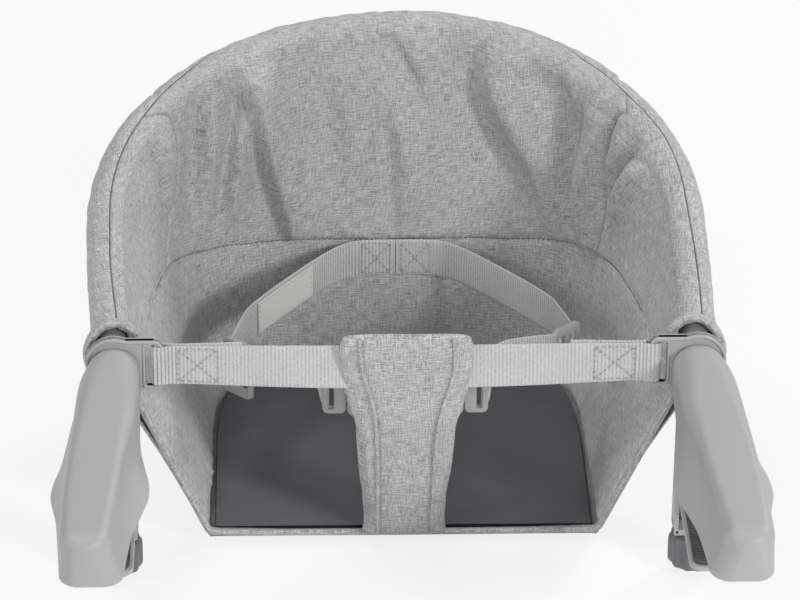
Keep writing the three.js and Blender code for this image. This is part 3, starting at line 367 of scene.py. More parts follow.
def unit(vectors):
    vectors = np.asarray(vectors, float)
    return vectors / np.maximum(np.linalg.norm(vectors, axis=-1, keepdims=True), 1e-12)


def directions(path):
    return unit(np.gradient(path, axis=0))


def run_lengths(path):
    return np.r_[0.0, np.cumsum(np.linalg.norm(np.diff(path, axis=0), axis=1))]


def read_along(distance, lengths, rows):
    """Rows of three values each, read at distances along a path."""
    return np.stack([np.interp(distance, lengths, rows[:, k]) for k in range(3)], -1)


def evenly(path, step):
    """The path again, with its points a fixed step apart."""
    path = np.asarray(path, float)
    lengths = run_lengths(path)
    wanted = np.linspace(0.0, lengths[-1], max(int(round(lengths[-1] / step)), 2) + 1)
    return read_along(wanted, lengths, path)


def rounded_path(points, step, passes=3):
    """A smooth path that rounds the corners of a line of points and keeps its ends."""
    path = np.asarray(points, float)
    near_share = 0.25
    for _ in range(passes):
        first = path[:-1] + (path[1:] - path[:-1]) * near_share
        second = path[1:] - (path[1:] - path[:-1]) * near_share
        inner = np.stack([first, second], 1).reshape(-1, 3)
        path = np.vstack([path[:1], inner, path[-1:]])
    return evenly(path, step)


def circle_section(sides):
    angle = np.arange(sides) / sides * 2 * np.pi
    return np.stack([np.cos(angle), np.sin(angle)], 1)


def tube(path, radius, sides=12, level=UP, tall=1.0):
    """A rod along a path. Its section may be taller than wide."""
    path = np.asarray(path, float)
    ahead = directions(path)
    beside = unit(np.cross(ahead, level))
    above = np.cross(beside, ahead)
    section = circle_section(sides) * np.array([1.0, tall])
    radius = np.broadcast_to(radius, len(path))[:, None, None]
    offset = section[None, :, :1] * beside[:, None] + section[None, :, 1:] * above[:, None]
    rings = path[:, None] + radius * offset
    along = run_lengths(path)
    around = np.arange(sides) / sides * 2 * np.pi * float(np.mean(radius))
    place = np.zeros(rings.shape)
    place[..., 0] = along[:, None]
    place[..., 1] = around[None, :]
    return lofted(rings, place)


def turned(profile, sides=32):
    """A closed solid of revolution about an upright axis, from pairs of radius and height."""
    profile = np.asarray(profile, float)
    ring = circle_section(sides)
    rings = np.empty((len(profile), sides, 3))
    rings[..., :2] = profile[:, None, :1] * ring
    rings[..., 2] = profile[:, None, 1]
    return lofted(rings)


def arc(centre, radius, start, end, steps=8):
    angle = np.radians(np.linspace(start, end, steps + 1))
    return np.stack([centre[0] + radius * np.cos(angle), centre[1] + radius * np.sin(angle)], 1)


def circle(centre, radius, sides=24):
    return arc(centre, radius, 0, 360 - 360 / sides, sides - 1)


def rounded_box(x0, y0, x1, y1, radius):
    corners = (
        ((x1 - radius, y1 - radius), 0), ((x0 + radius, y1 - radius), 90),
        ((x0 + radius, y0 + radius), 180), ((x1 - radius, y0 + radius), 270),
    )
    return np.vstack([arc(centre, radius, start, start + 90) for centre, start in corners])


def inset_outline(outline, distance):
    """A closed outline drawn in by a distance along its own normals."""
    ahead = unit(np.roll(outline, -1, axis=0) - np.roll(outline, 1, axis=0))
    area = np.cross(outline, np.roll(outline, -1, axis=0)).sum()
    inward = np.stack([-ahead[:, 1], ahead[:, 0]], 1) * np.sign(area)
    return outline + inward * distance


def plate(outlines, low, high, bevel, axis="z"):
    """A plate with bevelled edges, between two heights along an axis. The outlines after the first are holes.
    It is drawn a thousandfold, so that its small edges stay apart."""
    thousand, weld = 1000.0, 1e-4
    curve = bpy.data.curves.new("plate", "CURVE")
    curve.dimensions = "2D"
    curve.fill_mode = "BOTH"
    curve.bevel_depth = bevel * thousand
    curve.bevel_resolution = 2
    curve.offset = -bevel * thousand
    curve.extrude = ((high - low) / 2 - bevel) * thousand
    for outline in outlines:
        spline = curve.splines.new("POLY")
        spline.points.add(len(outline) - 1)
        for point, (x, y) in zip(spline.points, outline):
            point.co = (x * thousand, y * thousand, 0.0, 1.0)
        spline.use_cyclic_u = True
    holder = bpy.data.objects.new("plate", curve)
    mesh = bpy.data.meshes.new_from_object(holder)
    form = bmesh.new()
    form.from_mesh(mesh)
    bmesh.ops.remove_doubles(form, verts=form.verts, dist=weld)
    form.to_mesh(mesh)
    form.free()
    shell = shell_of(mesh)
    bpy.data.objects.remove(holder)
    bpy.data.curves.remove(curve)
    bpy.data.meshes.remove(mesh)
    points = shell.points / thousand
    points[:, 2] += (low + high) / 2
    order = {"z": [0, 1, 2], "y": [0, 2, 1], "x": [2, 0, 1]}[axis]
    return Shell(points[:, order], shell.faces)


def shell_of(mesh):
    points = np.empty(len(mesh.vertices) * 3)
    mesh.vertices.foreach_get("co", points)
    return Shell(points, [tuple(face.vertices) for face in mesh.polygons])


def evaluated_shell(thing):
    bpy.context.view_layer.update()
    graph = bpy.context.evaluated_depsgraph_get()
    mesh = bpy.data.meshes.new_from_object(thing.evaluated_get(graph))
    shell = shell_of(mesh)
    bpy.data.meshes.remove(mesh)
    return shell


def object_of(name, shell):
    mesh = bpy.data.meshes.new(name)
    mesh.from_pydata(shell.points.tolist(), [], shell.faces)
    place = mesh.attributes.new("cloth_place", "FLOAT_VECTOR", "POINT")
    place.data.foreach_set("vector", shell.place.astype(np.float32).ravel())
    form = bmesh.new()
    form.from_mesh(mesh)
    bmesh.ops.recalc_face_normals(form, faces=form.faces)
    form.to_mesh(mesh)
    form.free()
    thing = bpy.data.objects.new(name, mesh)
    bpy.context.scene.collection.objects.link(thing)
    return thing


def dropped(thing):
    mesh = thing.data
    bpy.data.objects.remove(thing)
    bpy.data.meshes.remove(mesh)


def carved(shell, cutters):
    """The shell with the cutters taken out of it."""
    body = object_of("carved", shell)
    tools = [object_of("cutter", cutter) for cutter in cutters]
    for tool in tools:
        cut = body.modifiers.new("cut", "BOOLEAN")
        cut.operation = "DIFFERENCE"
        cut.solver = "EXACT"
        cut.object = tool
    result = evaluated_shell(body)
    for thing in [body, *tools]:
        dropped(thing)
    return result


def smoothed(thing, angle):
    thing.data.polygons.foreach_set("use_smooth", [True] * len(thing.data.polygons))
    thing.data.set_sharp_from_angle(angle=math.radians(angle))


def piece(name, shells, body, slot, replaced=(), finish=None, angle=MOULDED_EDGE):
    """Makes a piece of the chair from shells, puts it on its body and hides the solids that it stands for.
    Its finish is its slot's, or one of its own."""
    thing = object_of(name, merged(shells) if isinstance(shells, list) else shells)
    smoothed(thing, angle)
    thing.data.materials.append(finish_of(finish or slot))
    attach(thing, body)
    if replaced:
        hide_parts(*replaced)
    return thing


def soft_piece(name, shells, slot="seat_cloth", replaced=(), finish=None, body="frame"):
    """A piece of cloth, webbing or thread, with its edges shaded soft."""
    return piece(name, shells, body, slot, replaced, finish, SOFT_EDGE)


# Shader maths: a socket that can be used in ordinary sums

class Value:
    """A node's output, which the usual operators turn into Math nodes."""

    def __init__(self, finish, socket):
        self.finish = finish
        self.socket = socket

    def math(self, operation, first, second=0.0):
        return self.finish.node("ShaderNodeMath", {"operation": operation}, {0: first, 1: second})

    def __add__(self, other):
        return self.math("ADD", self, other)

    def __sub__(self, other):
        return self.math("SUBTRACT", self, other)

    def __rsub__(self, other):
        return self.math("SUBTRACT", other, self)

    def __mul__(self, other):
        return self.math("MULTIPLY", self, other)

    def __truediv__(self, other):
        return self.math("DIVIDE", self, other)

    __radd__ = __add__
    __rmul__ = __mul__

    def sine(self):
        return self.math("SINE", self)

    def spread(self, low, high):
        """0 below low, 1 above high, and even between them."""
        ends = {"From Min": low, "From Max": high}
        return self.finish.node("ShaderNodeMapRange", {"clamp": True}, {"Value": self, **ends})


class Finish:
    """A material under construction."""

    def __init__(self, name, **constants):
        self.material = bpy.data.materials.new(name)
        self.material.use_nodes = True
        self.tree = self.material.node_tree
        self.tree.nodes.clear()
        self.shader = self.tree.nodes.new("ShaderNodeBsdfPrincipled")
        output = self.tree.nodes.new("ShaderNodeOutputMaterial")
        self.tree.links.new(self.shader.outputs["BSDF"], output.inputs["Surface"])
        for name, value in constants.items():
            self.shader.inputs[name.replace("_", " ")].default_value = value

    def node(self, kind, choices=None, inputs=None, output=0):
        node = self.tree.nodes.new(kind)
        for key, value in (choices or {}).items():
            setattr(node, key, value)
        for key, value in (inputs or {}).items():
            self.feed(node.inputs[key], value)
        return Value(self, node.outputs[output])

    def feed(self, socket, value):
        if isinstance(value, Value):
            self.tree.links.new(value.socket, socket)
        else:
            socket.default_value = value

    def place(self):
        """Place on the cloth, in metres."""
        return self.node("ShaderNodeAttribute", {"attribute_name": "cloth_place"}, output="Vector")

    def position(self):
        """Place in the piece's own frame, in metres."""
        return self.node("ShaderNodeTexCoord", output="Object")

    def scaled(self, vector, factors):
        return self.node("ShaderNodeVectorMath", {"operation": "MULTIPLY"}, {0: vector, 1: factors})

    def grain(self, vector, factors, detail=2.0, roughness=0.5):
        """Noise from 0 to 1, with a scale of its own along each direction."""
        place = self.scaled(vector, factors)
        inputs = {"Vector": place, "Scale": 1.0, "Detail": detail, "Roughness": roughness}
        return self.node("ShaderNodeTexNoise", None, inputs)

    def parts(self, vector):
        node = self.tree.nodes.new("ShaderNodeSeparateXYZ")
        self.feed(node.inputs[0], vector)
        return [Value(self, socket) for socket in node.outputs]

    def mixed(self, share, first, second):
        """A colour between two colours."""
        choices = {"data_type": "RGBA", "clamp_factor": True}
        return self.node("ShaderNodeMix", choices, {0: share, 6: first, 7: second}, output=2)

    def colour(self, value):
        self.feed(self.shader.inputs["Base Color"], value)

    def roughness(self, value):
        self.feed(self.shader.inputs["Roughness"], value)

    def bump(self, height, distance, strength=1.0):
        inputs = {"Height": height, "Distance": distance, "Strength": strength}
        self.feed(self.shader.inputs["Normal"], self.node("ShaderNodeBump", None, inputs, output="Normal"))


def shade(colour_value, factor):
    """A colour made lighter or darker by a factor, for a colour socket."""
    return tuple(min(channel * factor, 1.0) for channel in colour_value) + (1.0,)


def melange_cloth():
    """Woven cloth of light and dark slubbed yarns in both directions."""
    size = settings().cloth
    grey = settings().colours.cloth
    finish = Finish("melange_cloth", Sheen_Weight=0.2, Sheen_Roughness=0.5, Specular_IOR_Level=0.2)
    place = finish.place()
    fine, long = 1 / size.yarn, 1 / size.slub
    warp = finish.grain(place, (fine, long, 0.0), detail=3.0, roughness=0.6)
    weft = finish.grain(place, (long, fine, 3.0), detail=3.0, roughness=0.6)
    speck = finish.grain(place, (fine * 2, fine * 2, 5.0), detail=1.0)
    patch = finish.grain(place, (28.0, 28.0, 0.0), detail=3.0)
    across, along, _ = finish.parts(place)
    turn = math.pi / size.yarn
    weave = (across * turn).sine() * (along * turn).sine()
    threads = (warp - 0.5) * 1.9 + (weft - 0.5) * 2.2 + (speck - 0.5) * 3.6
    share = threads + (patch - 0.5) * 0.3 + weave * 0.05 + 0.5
    finish.colour(finish.mixed(share.spread(-0.1, 1.1), shade(grey, 0.45), shade(grey, 1.75)))
    finish.roughness(patch * 0.1 + 0.86)
    depth = 0.0002
    finish.bump(weave * 0.4 + warp + weft, depth, 0.6)
    return finish.material


def ribbed_webbing():
    """Harness webbing: a fine twill over ribs that are in the mesh, with painted highlight and shade along
    the ribs.
    """
    grey = settings().colours.webbing
    finish = Finish("ribbed_webbing", Sheen_Weight=0.3, Sheen_Roughness=0.45, Specular_IOR_Level=0.3)
    place = finish.place()
    along, across, opened = finish.parts(place)
    # Light and dark stripes with the ribs, strongest where the webbing bends and its ribs open: painted
    # highlight and shade
    wave = (along * (2 * math.pi / settings().harness.rib_pitch)).sine()
    rib = (wave.spread(-0.9, -0.1) - 0.6) * (opened * 0.6 + 0.14)
    twill_pitch, depth = 0.0011, 0.00025
    twill = ((along + across) * (2 * math.pi / twill_pitch)).sine()
    fleck = finish.grain(place, (1400.0, 500.0, 0.0), detail=3.0)
    soil = finish.grain(place, (40.0, 60.0, 0.0))
    share = rib + twill * 0.1 + (fleck - 0.5) * 1.5 + (soil - 0.5) * 0.3 + 0.5
    finish.colour(finish.mixed(share.spread(0.0, 1.0), shade(grey, 0.7), shade(grey, 1.25)))
    finish.roughness(fleck * 0.15 + 0.72)
    finish.bump(twill * 0.5 + fleck, depth, 0.7)
    return finish.material


def plain_cloth(name, grey, weave_pitch, contrast, roughness, sheen):
    """A smooth closely woven cloth, for the floor panel, the label and the thread."""
    finish = Finish(name, Sheen_Weight=sheen, Specular_IOR_Level=0.3)
    place = finish.place()
    across, along, _ = finish.parts(place)
    turn = 2 * math.pi / weave_pitch
    weave = (across * turn).sine() * (along * turn).sine()
    cloud = finish.grain(place, (35.0, 35.0, 0.0), detail=4.0)
    share = weave * 0.15 + (cloud - 0.5) * 0.9 + 0.5
    finish.colour(finish.mixed(share.spread(0.0, 1.0), shade(grey, 1 - contrast), shade(grey, 1 + contrast)))
    finish.roughness(cloud * 0.12 + roughness)
    depth = 0.00018
    finish.bump(weave + cloud * 0.5, depth, 0.6)
    return finish.material


def moulded_plastic(name, grey, roughness, texture):
    """Moulded plastic: a fine spark-eroded texture, faint flow marks and light scuffs."""
    finish = Finish(name, Specular_IOR_Level=0.45, Coat_Weight=0.0)
    position = finish.position()
    grit = finish.grain(position, (2600.0, 2600.0, 2600.0), detail=2.0)
    flow = finish.grain(position, (14.0, 6.0, 14.0), detail=2.0)
    scuff = finish.grain(position, (90.0, 260.0, 90.0), detail=5.0, roughness=0.7)
    share = (flow - 0.5) * 0.5 + (grit - 0.5) * 0.25 + 0.5
    finish.colour(finish.mixed(share.spread(0.0, 1.0), shade(grey, 0.86), shade(grey, 1.0)))
    finish.roughness((scuff - 0.5) * 0.22 + (flow - 0.5) * 0.08 + roughness)
    finish.bump(grit + scuff.spread(0.62, 0.75) * 0.6, texture, 0.8)
    return finish.material


def worn_metal(name, grey, roughness, metallic, streak):
    """Plated, turned or powder-coated metal, with fine streaks and small dull spots."""
    finish = Finish(name, Metallic=metallic)
    position = finish.position()
    streaks = finish.grain(position, streak, detail=3.0)
    spots = finish.grain(position, (420.0, 420.0, 420.0), detail=3.0)
    finish.colour(finish.mixed((spots - 0.5) * 1.2 + 0.5, shade(grey, 0.85), shade(grey, 1.12)))
    finish.roughness((streaks - 0.5) * 0.25 + (spots - 0.5) * 0.15 + roughness)
    depth = 0.00003
    finish.bump(streaks + spots * 0.4, depth, 0.7)
    return finish.material


def ribbed_rubber():
    """Rubber with fine ribs across it and a little dust."""
    depth = 0.0003
    grey = settings().colours.rubber
    finish = Finish("ribbed_rubber", Specular_IOR_Level=0.35)
    position = finish.position()
    dust = finish.grain(position, (120.0, 120.0, 120.0), detail=5.0, roughness=0.7)
    _, along, _ = finish.parts(position)
    rib = (along * (2 * math.pi / settings().moulding.pad_rib)).sine()
    finish.colour(finish.mixed(dust.spread(0.35, 0.75), shade(grey, 0.85), shade(grey, 1.5)))
    finish.roughness(dust * 0.15 + 0.72)
    finish.bump(rib.spread(-0.4, 0.4) + dust * 0.15, depth, 0.8)
    return finish.material


# Plain cloths: the finish's name, the pitch of its weave, its contrast, roughness and sheen
PLAIN_CLOTHS = {
    "floor_cloth": ("coated_cloth", 0.0011, 0.2, 0.6, 0.15),
    "label_cloth": ("label_weave", 0.0006, 0.06, 0.7, 0.1),
    "thread": ("sewing_thread", 0.0005, 0.2, 0.55, 0.2),
    # The seam thread's dark colour is partly painted shade in the seams
    "seam_thread": ("seam_thread", 0.0005, 0.2, 0.7, 0.1),
}

# Moulded plastics: the finish's name, its roughness and the depth of its texture
PLASTICS = {
    "arm_plastic": ("arm_moulding", 0.46, 0.00005),
    "dark_plastic": ("dark_moulding", 0.5, 0.00008),
    "buckle_plastic": ("buckle_moulding", 0.4, 0.00003),
    "bush_plastic": ("bearing_moulding", 0.4, 0.00002),
    "board": ("stiffening_sheet", 0.65, 0.00008),
}

# Metals: the finish's name, its roughness, how metallic it is, and how fine its streaks are each way
METALS = {
    "tube_metal": ("powder_coat", 0.42, 0.0, (900.0, 900.0, 900.0)),
    "steel": ("zinc_plate", 0.32, 1.0, (600.0, 600.0, 2500.0)),
    "brass": ("turned_brass", 0.3, 1.0, (300.0, 300.0, 4000.0)),
}

FINISHES = {}


def new_finish(name):
    """Makes the finish of a slot or a thread, in the colour of that name."""
    own = {"seat_cloth": melange_cloth, "webbing": ribbed_webbing, "rubber": ribbed_rubber}
    if name in own:
        return own[name]()
    families = ((PLAIN_CLOTHS, plain_cloth), (PLASTICS, moulded_plastic), (METALS, worn_metal))
    table, maker = next(family for family in families if name in family[0])
    title, *look = table[name]
    return maker(title, getattr(settings().colours, name), *look)


def finish_of(name):
    """The finish of that name, made when it is first asked for."""
    if name not in FINISHES:
        FINISHES[name] = new_finish(name)
    return FINISHES[name]


# The bucket's plan and wall, by share round the seat from the left arm over the back to the right arm

def plan_point(s, plan):
    front_half, side_half, front, centre, back, roundness = np.moveaxis(np.asarray(plan), -1, 0)
    side = np.where(s < 0.5, -1.0, 1.0)
    inward = np.minimum(s, 1 - s)
    along = np.minimum(inward / SIDE_SHARE, 1.0)
    half = side_half - (side_half - front_half) * (1 - along) ** 2
    straight = np.stack([side * half, front + (centre - front) * along], -1)
    angle = np.maximum(inward - SIDE_SHARE, 0.0) / (0.5 - SIDE_SHARE) * (np.pi / 2)
    cosine, sine = np.cos(angle), np.sin(angle)
    reach = ((cosine / side_half) ** roundness + (sine / (back - centre)) ** roundness) ** (-1 / roundness)
    curved = np.stack([side * cosine * reach, centre + sine * reach], -1)
    return np.where((inward < SIDE_SHARE)[..., None], straight, curved)


def hoop_height(y):
    """Height of the tube's axis: level at the arms, then rising to the back."""
    past = y - BEND_PLACE
    slope = math.tan(HOOP_RISE)
    bend = (past + BEND_REACH) ** 2 / (4 * BEND_REACH) * slope
    rise = np.where(past >= BEND_REACH, past * slope, np.where(past <= -BEND_REACH, 0.0, bend))
    return AXIS_HEIGHT + rise


def hoop_point(s):
    plan = plan_point(s, np.broadcast_to(HOOP_PLAN, (*np.shape(s), 6)))
    return np.concatenate([plan, hoop_height(plan[..., 1])[..., None]], -1)


def wall_point(s, z):
    share = (z - SEAT_BOTTOM) / (hoop_point(s)[..., 2] - SEAT_BOTTOM)
    plan = BASE_PLAN + (HOOP_PLAN - BASE_PLAN) * share[..., None]
    return np.concatenate([plan_point(s, plan), z[..., None]], -1)


def wall_inward(s, z):
    beside = wall_point(np.clip(s + NEAR, 0, 1), z) - wall_point(np.clip(s - NEAR, 0, 1), z)
    above = wall_point(s, z + NEAR) - wall_point(s, z - NEAR)
    return unit(np.cross(beside, above))


def leaned(points):
    """Puts the seat's cloth and tube a little out of true, more towards the back and the rim."""
    points = np.array(points, float)
    x, y, z = points[..., 0], points[..., 1], points[..., 2]
    back = np.clip((y - HOOP_START) / (HOOP_BACK - HOOP_START), 0, 1)
    high = np.clip((z - SEAT_BOTTOM) / (hoop_height(y) - SEAT_BOTTOM), 0, 1)
    half = HOOP_PLAN[1]
    points[..., 2] = z + LEAN_TILT * x / half * back * high - LEAN_DROP * back ** 2 * high
    points[..., 0] = x + LEAN_SIDEWAYS * back * high
    return points


def along_table(value, table):
    """Value read from a table of pairs, even between its rows."""
    places, values = zip(*table)
    return np.interp(value, places, values)


def eased(value, start, end):
    """0 before the start, 1 after the end, and a soft step between them."""
    share = np.clip((value - start) / (end - start), 0, 1)
    return share * share * (3 - 2 * share)


def cuff_share(s):
    """1 at the cuffs and 0 a little way behind them."""
    reach = np.minimum(s, 1 - s) * PATH_LENGTH
    return np.clip(1 - reach / CUFF_LENGTH, 0, 1) ** 2


def rim_radius(s):
    """Radius of the cloth round the tube, which flares at the cuffs."""
    return settings().cloth.rim_radius + CUFF_FLARE * cuff_share(s)


def lining_top(s):
    """Height on the wall's face from which the lining's rim is reached square to the wall."""
    height = hoop_point(s)[..., 2]
    upward = wall_inward(s, height)[..., 2]
    return height + rim_radius(s) * (math.cos(LINING_LEAVES) - upward * math.sin(LINING_LEAVES))


def lining_reach(s, z):
    """How far inside the wall the lining hangs: it falls from the rim's inner side to the floor's edge,
    and meets the cover at the seat's open front."""
    below = np.maximum(lining_top(s) - z, 0)
    share = np.clip(below / (lining_top(s) - FLOOR_TOP), 0, 1)
    reach = LINING_REST + (rim_radius(s) * math.sin(LINING_LEAVES) - LINING_REST) * (1 - share) ** 1.15
    reach = reach + ROLL_OUT_SHARE * below * np.exp(-below / ROLL_FADE)
    from_end = np.minimum(s, 1 - s) * ROUND_LENGTH / CLOSING_LENGTH
    closing = np.exp(-(from_end ** 2)) * eased(below, CLOSING_START, CLOSING_END)
    return reach + (LINING_REST - reach) * closing


def layer_points(s, side, rim_steps, wall_steps, foot):
    """Rows of points down a cloth layer, from the rim's seam round the tube and down the wall to a foot.
    Side is 1 for the lining and -1 for the outer cover. The cuffs are cut back at their top."""
    s = np.asarray(s, float)
    radius = rim_radius(s)
    centre = hoop_point(s)
    ahead = unit(hoop_point(np.clip(s + NEAR, 0, 1)) - hoop_point(np.clip(s - NEAR, 0, 1)))
    inboard = unit(np.cross(ahead, UP))
    above = np.cross(inboard, ahead)
    seam = np.radians(along_table(s, RIM_SEAM))
    end = -LINING_LEAVES if side > 0 else COVER_LEAVES
    share = np.linspace(0, 1, rim_steps + 1)
    angle = seam[:, None] + (end - seam)[:, None] * share
    outward = np.cos(angle)[..., None] * above[:, None] - np.sin(angle)[..., None] * inboard[:, None]
    rim = centre[:, None] + radius[:, None, None] * outward
    start = lining_top(s) if side > 0 else rim[:, -1, 2]
    share = np.linspace(0, 1, wall_steps + 1)[1:]
    z = start[:, None] + (np.broadcast_to(foot, len(s)) - start)[:, None] * share
    close = np.exp(-(start[:, None] - z) / COVER_HANG)
    wide = np.repeat(s[:, None], z.shape[1], 1)
    if side > 0:
        reach = lining_reach(wide, z)
    else:
        reach = COVER_REST + (radius[:, None] * abs(math.sin(end)) - COVER_REST) * close
    wall = wall_point(wide, z) + wall_inward(wide, z) * (reach * side)[..., None]
    points = np.concatenate([rim, wall], 1)
    raised = np.concatenate([np.cos(angle / 2) ** 2, math.cos(end / 2) ** 2 * close ** 2], 1)
    points[..., 1] += CUFF_CUT * cuff_share(s)[:, None] * raised
    for _ in range(SMOOTH_PASSES):
        points[:, 1:-1] = (points[:, :-2] + 2 * points[:, 1:-1] + points[:, 2:]) / 4
    return points


def grid_normals(points, towards):
    """Normals of a grid of points, on the side that a sign gives."""
    return unit(np.cross(np.gradient(points, axis=0), np.gradient(points, axis=1))) * towards


def grid_lengths(points):
    """Lengths along the rows and down the columns of a grid, in metres."""
    beside = np.linalg.norm(np.diff(points, axis=0), axis=-1)
    below = np.linalg.norm(np.diff(points, axis=1), axis=-1)
    across = np.vstack([np.zeros(points.shape[1]), np.cumsum(beside, 0)])
    down = np.hstack([np.zeros((points.shape[0], 1)), np.cumsum(below, 1)])
    return across, down


def shoulder(gap):
    """0 at a seam and 1 from the seam's width on, with a rounded shoulder between."""
    return np.sqrt(1 - (1 - np.clip(gap / settings().cloth.seam_width, 0, 1)) ** 2)


def edge_fullness(across, down):
    """1 inside a panel and 0 at its four sewn edges."""
    return shoulder(np.min([across, across[-1:] - across, down, down[:, -1:] - down], axis=0))


def waves(points, scale, seed):
    """Smooth noise at each point, from about -1 to 1, with a scale for each direction."""
    flat = points.reshape(-1, 3) * np.asarray(scale)
    values = [noise.noise(Vector((x, y, z + seed))) for x, y, z in flat.tolist()]
    return np.array(values).reshape(points.shape[:-1])


def panel(points, lift, towards, bias=0.0):
    """A sewn panel of cloth: a closed sheet whose visible face dips at its seams.
    Its threads run level and upright at its middle, or turned by the bias they were cut at.
    Gives the shell and the size that the sheet was cut to."""
    size = settings().cloth
    across, down = grid_lengths(points)
    normal = grid_normals(points, towards)
    full = edge_fullness(across, down)
    face = points + normal * (lift * full - size.seam_depth * (1 - full))[..., None]
    back = face - normal * (size.thickness * (SEWN_SHARE + (1 - SEWN_SHARE) * full))[..., None]
    level, upright = across - across[len(across) // 2], down - down[:, -1:]
    cosine, sine = math.cos(bias), math.sin(bias)
    threads = (level * cosine - upright * sine, level * sine + upright * cosine)
    place = np.stack([*threads, np.zeros_like(across)], -1)
    faces = sheet_faces(*points.shape[:2])
    shell = Shell(leaned(np.stack([face, back])), faces, np.stack([place, place]))
    return shell, (float(across[-1].mean()), float(down[:, -1].mean()))


# Folds of the lining. Each has how far its slope reaches to the left and to the right of its path, and the
# height of its right side, where a height below 0 raises the left side. Then comes its path from the rim
# down, as share round the seat and height.
FOLDS = {
    "left_deep": (0.0060, 0.0025, 0.0180, (
        (0.366, 0.108), (0.373, 0.098), (0.384, 0.078), (0.389, 0.063), (0.397, 0.038), (0.405, 0.013),
        (0.414, -0.019),
    )),
    "left_short": (0.0030, 0.0030, 0.0035, (
        (0.352, 0.108), (0.358, 0.102), (0.367, 0.090), (0.376, 0.078),
    )),
    "left_broad": (0.0035, 0.0045, 0.0120, (
        (0.338, 0.098), (0.337, 0.071), (0.336, 0.043), (0.333, 0.018),
    )),
    "left_slanting": (0.0030, 0.0030, 0.0100, (
        (0.377, 0.090), (0.370, 0.061), (0.364, 0.035), (0.357, 0.004),
    )),
    "left_of_middle": (0.0080, 0.0050, 0.0055, (
        (0.452, 0.098), (0.460, 0.072), (0.468, 0.042), (0.464, 0.004),
    )),
    "middle_low": (0.0050, 0.0060, 0.0100, (
        (0.502, 0.066), (0.509, 0.028), (0.504, -0.008),
    )),
    "middle_top": (0.0040, 0.0025, 0.0050, (
        (0.505, 0.117), (0.514, 0.107), (0.527, 0.089), (0.536, 0.068),
    )),
    "right_of_middle": (0.0080, 0.0060, 0.0020, (
        (0.522, 0.080), (0.535, 0.044), (0.527, 0.008),
    )),
    "right_deep": (0.0040, 0.0090, 0.0160, (
        (0.595, 0.117), (0.581, 0.100), (0.577, 0.084), (0.586, 0.061), (0.603, 0.038), (0.617, 0.020),
        (0.631, -0.012),
    )),
    "right_top": (0.0050, 0.0025, 0.0040, (
        (0.648, 0.109), (0.662, 0.094), (0.663, 0.072),
    )),
    "right_slanting": (0.0060, 0.0060, -0.0035, (
        (0.620, 0.104), (0.632, 0.082), (0.652, 0.056),
    )),
    "right_corner": (0.0050, 0.0050, 0.0150, (
        (0.682, 0.086), (0.669, 0.047), (0.661, 0.020), (0.665, -0.006),
    )),
    "right_seam": (0.0025, 0.0025, 0.0045, (
        (0.720, 0.092), (0.713, 0.068), (0.704, 0.050), (0.703, 0.032),
    )),
    "right_side": (0.0035, 0.0035, 0.0140, (
        (0.756, 0.086), (0.739, 0.059), (0.712, 0.026),
    )),
    "right_side_low": (0.0060, 0.0060, 0.0015, (
        (0.775, 0.056), (0.755, 0.032), (0.735, 0.006),
    )),
    "left_side": (0.0040, 0.0030, 0.0060, (
        (0.272, 0.080), (0.288, 0.056), (0.295, 0.026),
    )),
    "left_side_low": (0.0060, 0.0060, 0.0010, (
        (0.225, 0.060), (0.240, 0.034), (0.250, 0.008),
    )),
}

# The valley ahead of a fold's slope, how far a fold's high side falls back, and the steps along its path
VALLEY_SHARE = 0.25
FOLD_BACK = 0.009
FOLD_STEP = 0.003


def folds(s, z):
    """Height of the folds at each place: a slope up to a crest, from which the cloth falls back slowly."""
    places = np.stack([s * ROUND_LENGTH, z], -1)
    total = np.zeros(s.shape)
    for left, right, height, path in FOLDS.values():
        line = np.array([(share * ROUND_LENGTH, level, 0.0) for share, level in path])
        line = rounded_path(line, FOLD_STEP)[:, :2]
        back = 2.0 * (left + right) + FOLD_BACK
        low, high = line.min(0) - 2.5 * back, line.max(0) + 2.5 * back
        close = np.all((places > low) & (places < high), axis=-1)
        ahead = unit(np.gradient(line, axis=0))
        gap = places[close][:, None, :] - line
        nearest = np.argmin((gap ** 2).sum(-1), -1)
        toward = np.take_along_axis(gap, nearest[:, None, None], 1)[:, 0]
        tangent = ahead[nearest]
        beside = toward[:, 1] * tangent[:, 0] - toward[:, 0] * tangent[:, 1]
        beside = beside * math.copysign(1.0, height)
        past = (toward * tangent).sum(-1)
        run = nearest / (len(line) - 1)
        fade = np.sin(np.pi * np.clip(run * 0.9 + 0.05, 0, 1)) ** 0.55 * np.exp(-((past / (0.4 * back)) ** 2))
        reach = np.where(beside < 0, left, right)
        slope = (left + reach * np.tanh(1.13 * beside / reach)) / (left + right)
        valley = np.exp(-(((beside + 0.6 * left) / (left + right)) ** 2))
        fall = np.exp(-((np.maximum(beside, 0) / back) ** 2))
        total[close] += abs(height) * fade * (slope - VALLEY_SHARE * valley) * fall
    return total * settings().cloth.fold_share


def gathers(points, s, down):
    """Ripples across the rim beside each cuff, which die out along it and down the wall."""
    pitch, reach, fall = 0.0062, 0.026, 0.040
    gap = ROUND_LENGTH * np.minimum(s, 1 - s)
    drift = waves(points, (45.0, 45.0, 45.0), 61.0)
    ripple = np.sin(2 * np.pi * gap / pitch + 5.0 * drift)
    return settings().cloth.gather_depth * ripple * np.exp(-gap / reach - (down / fall) ** 2)


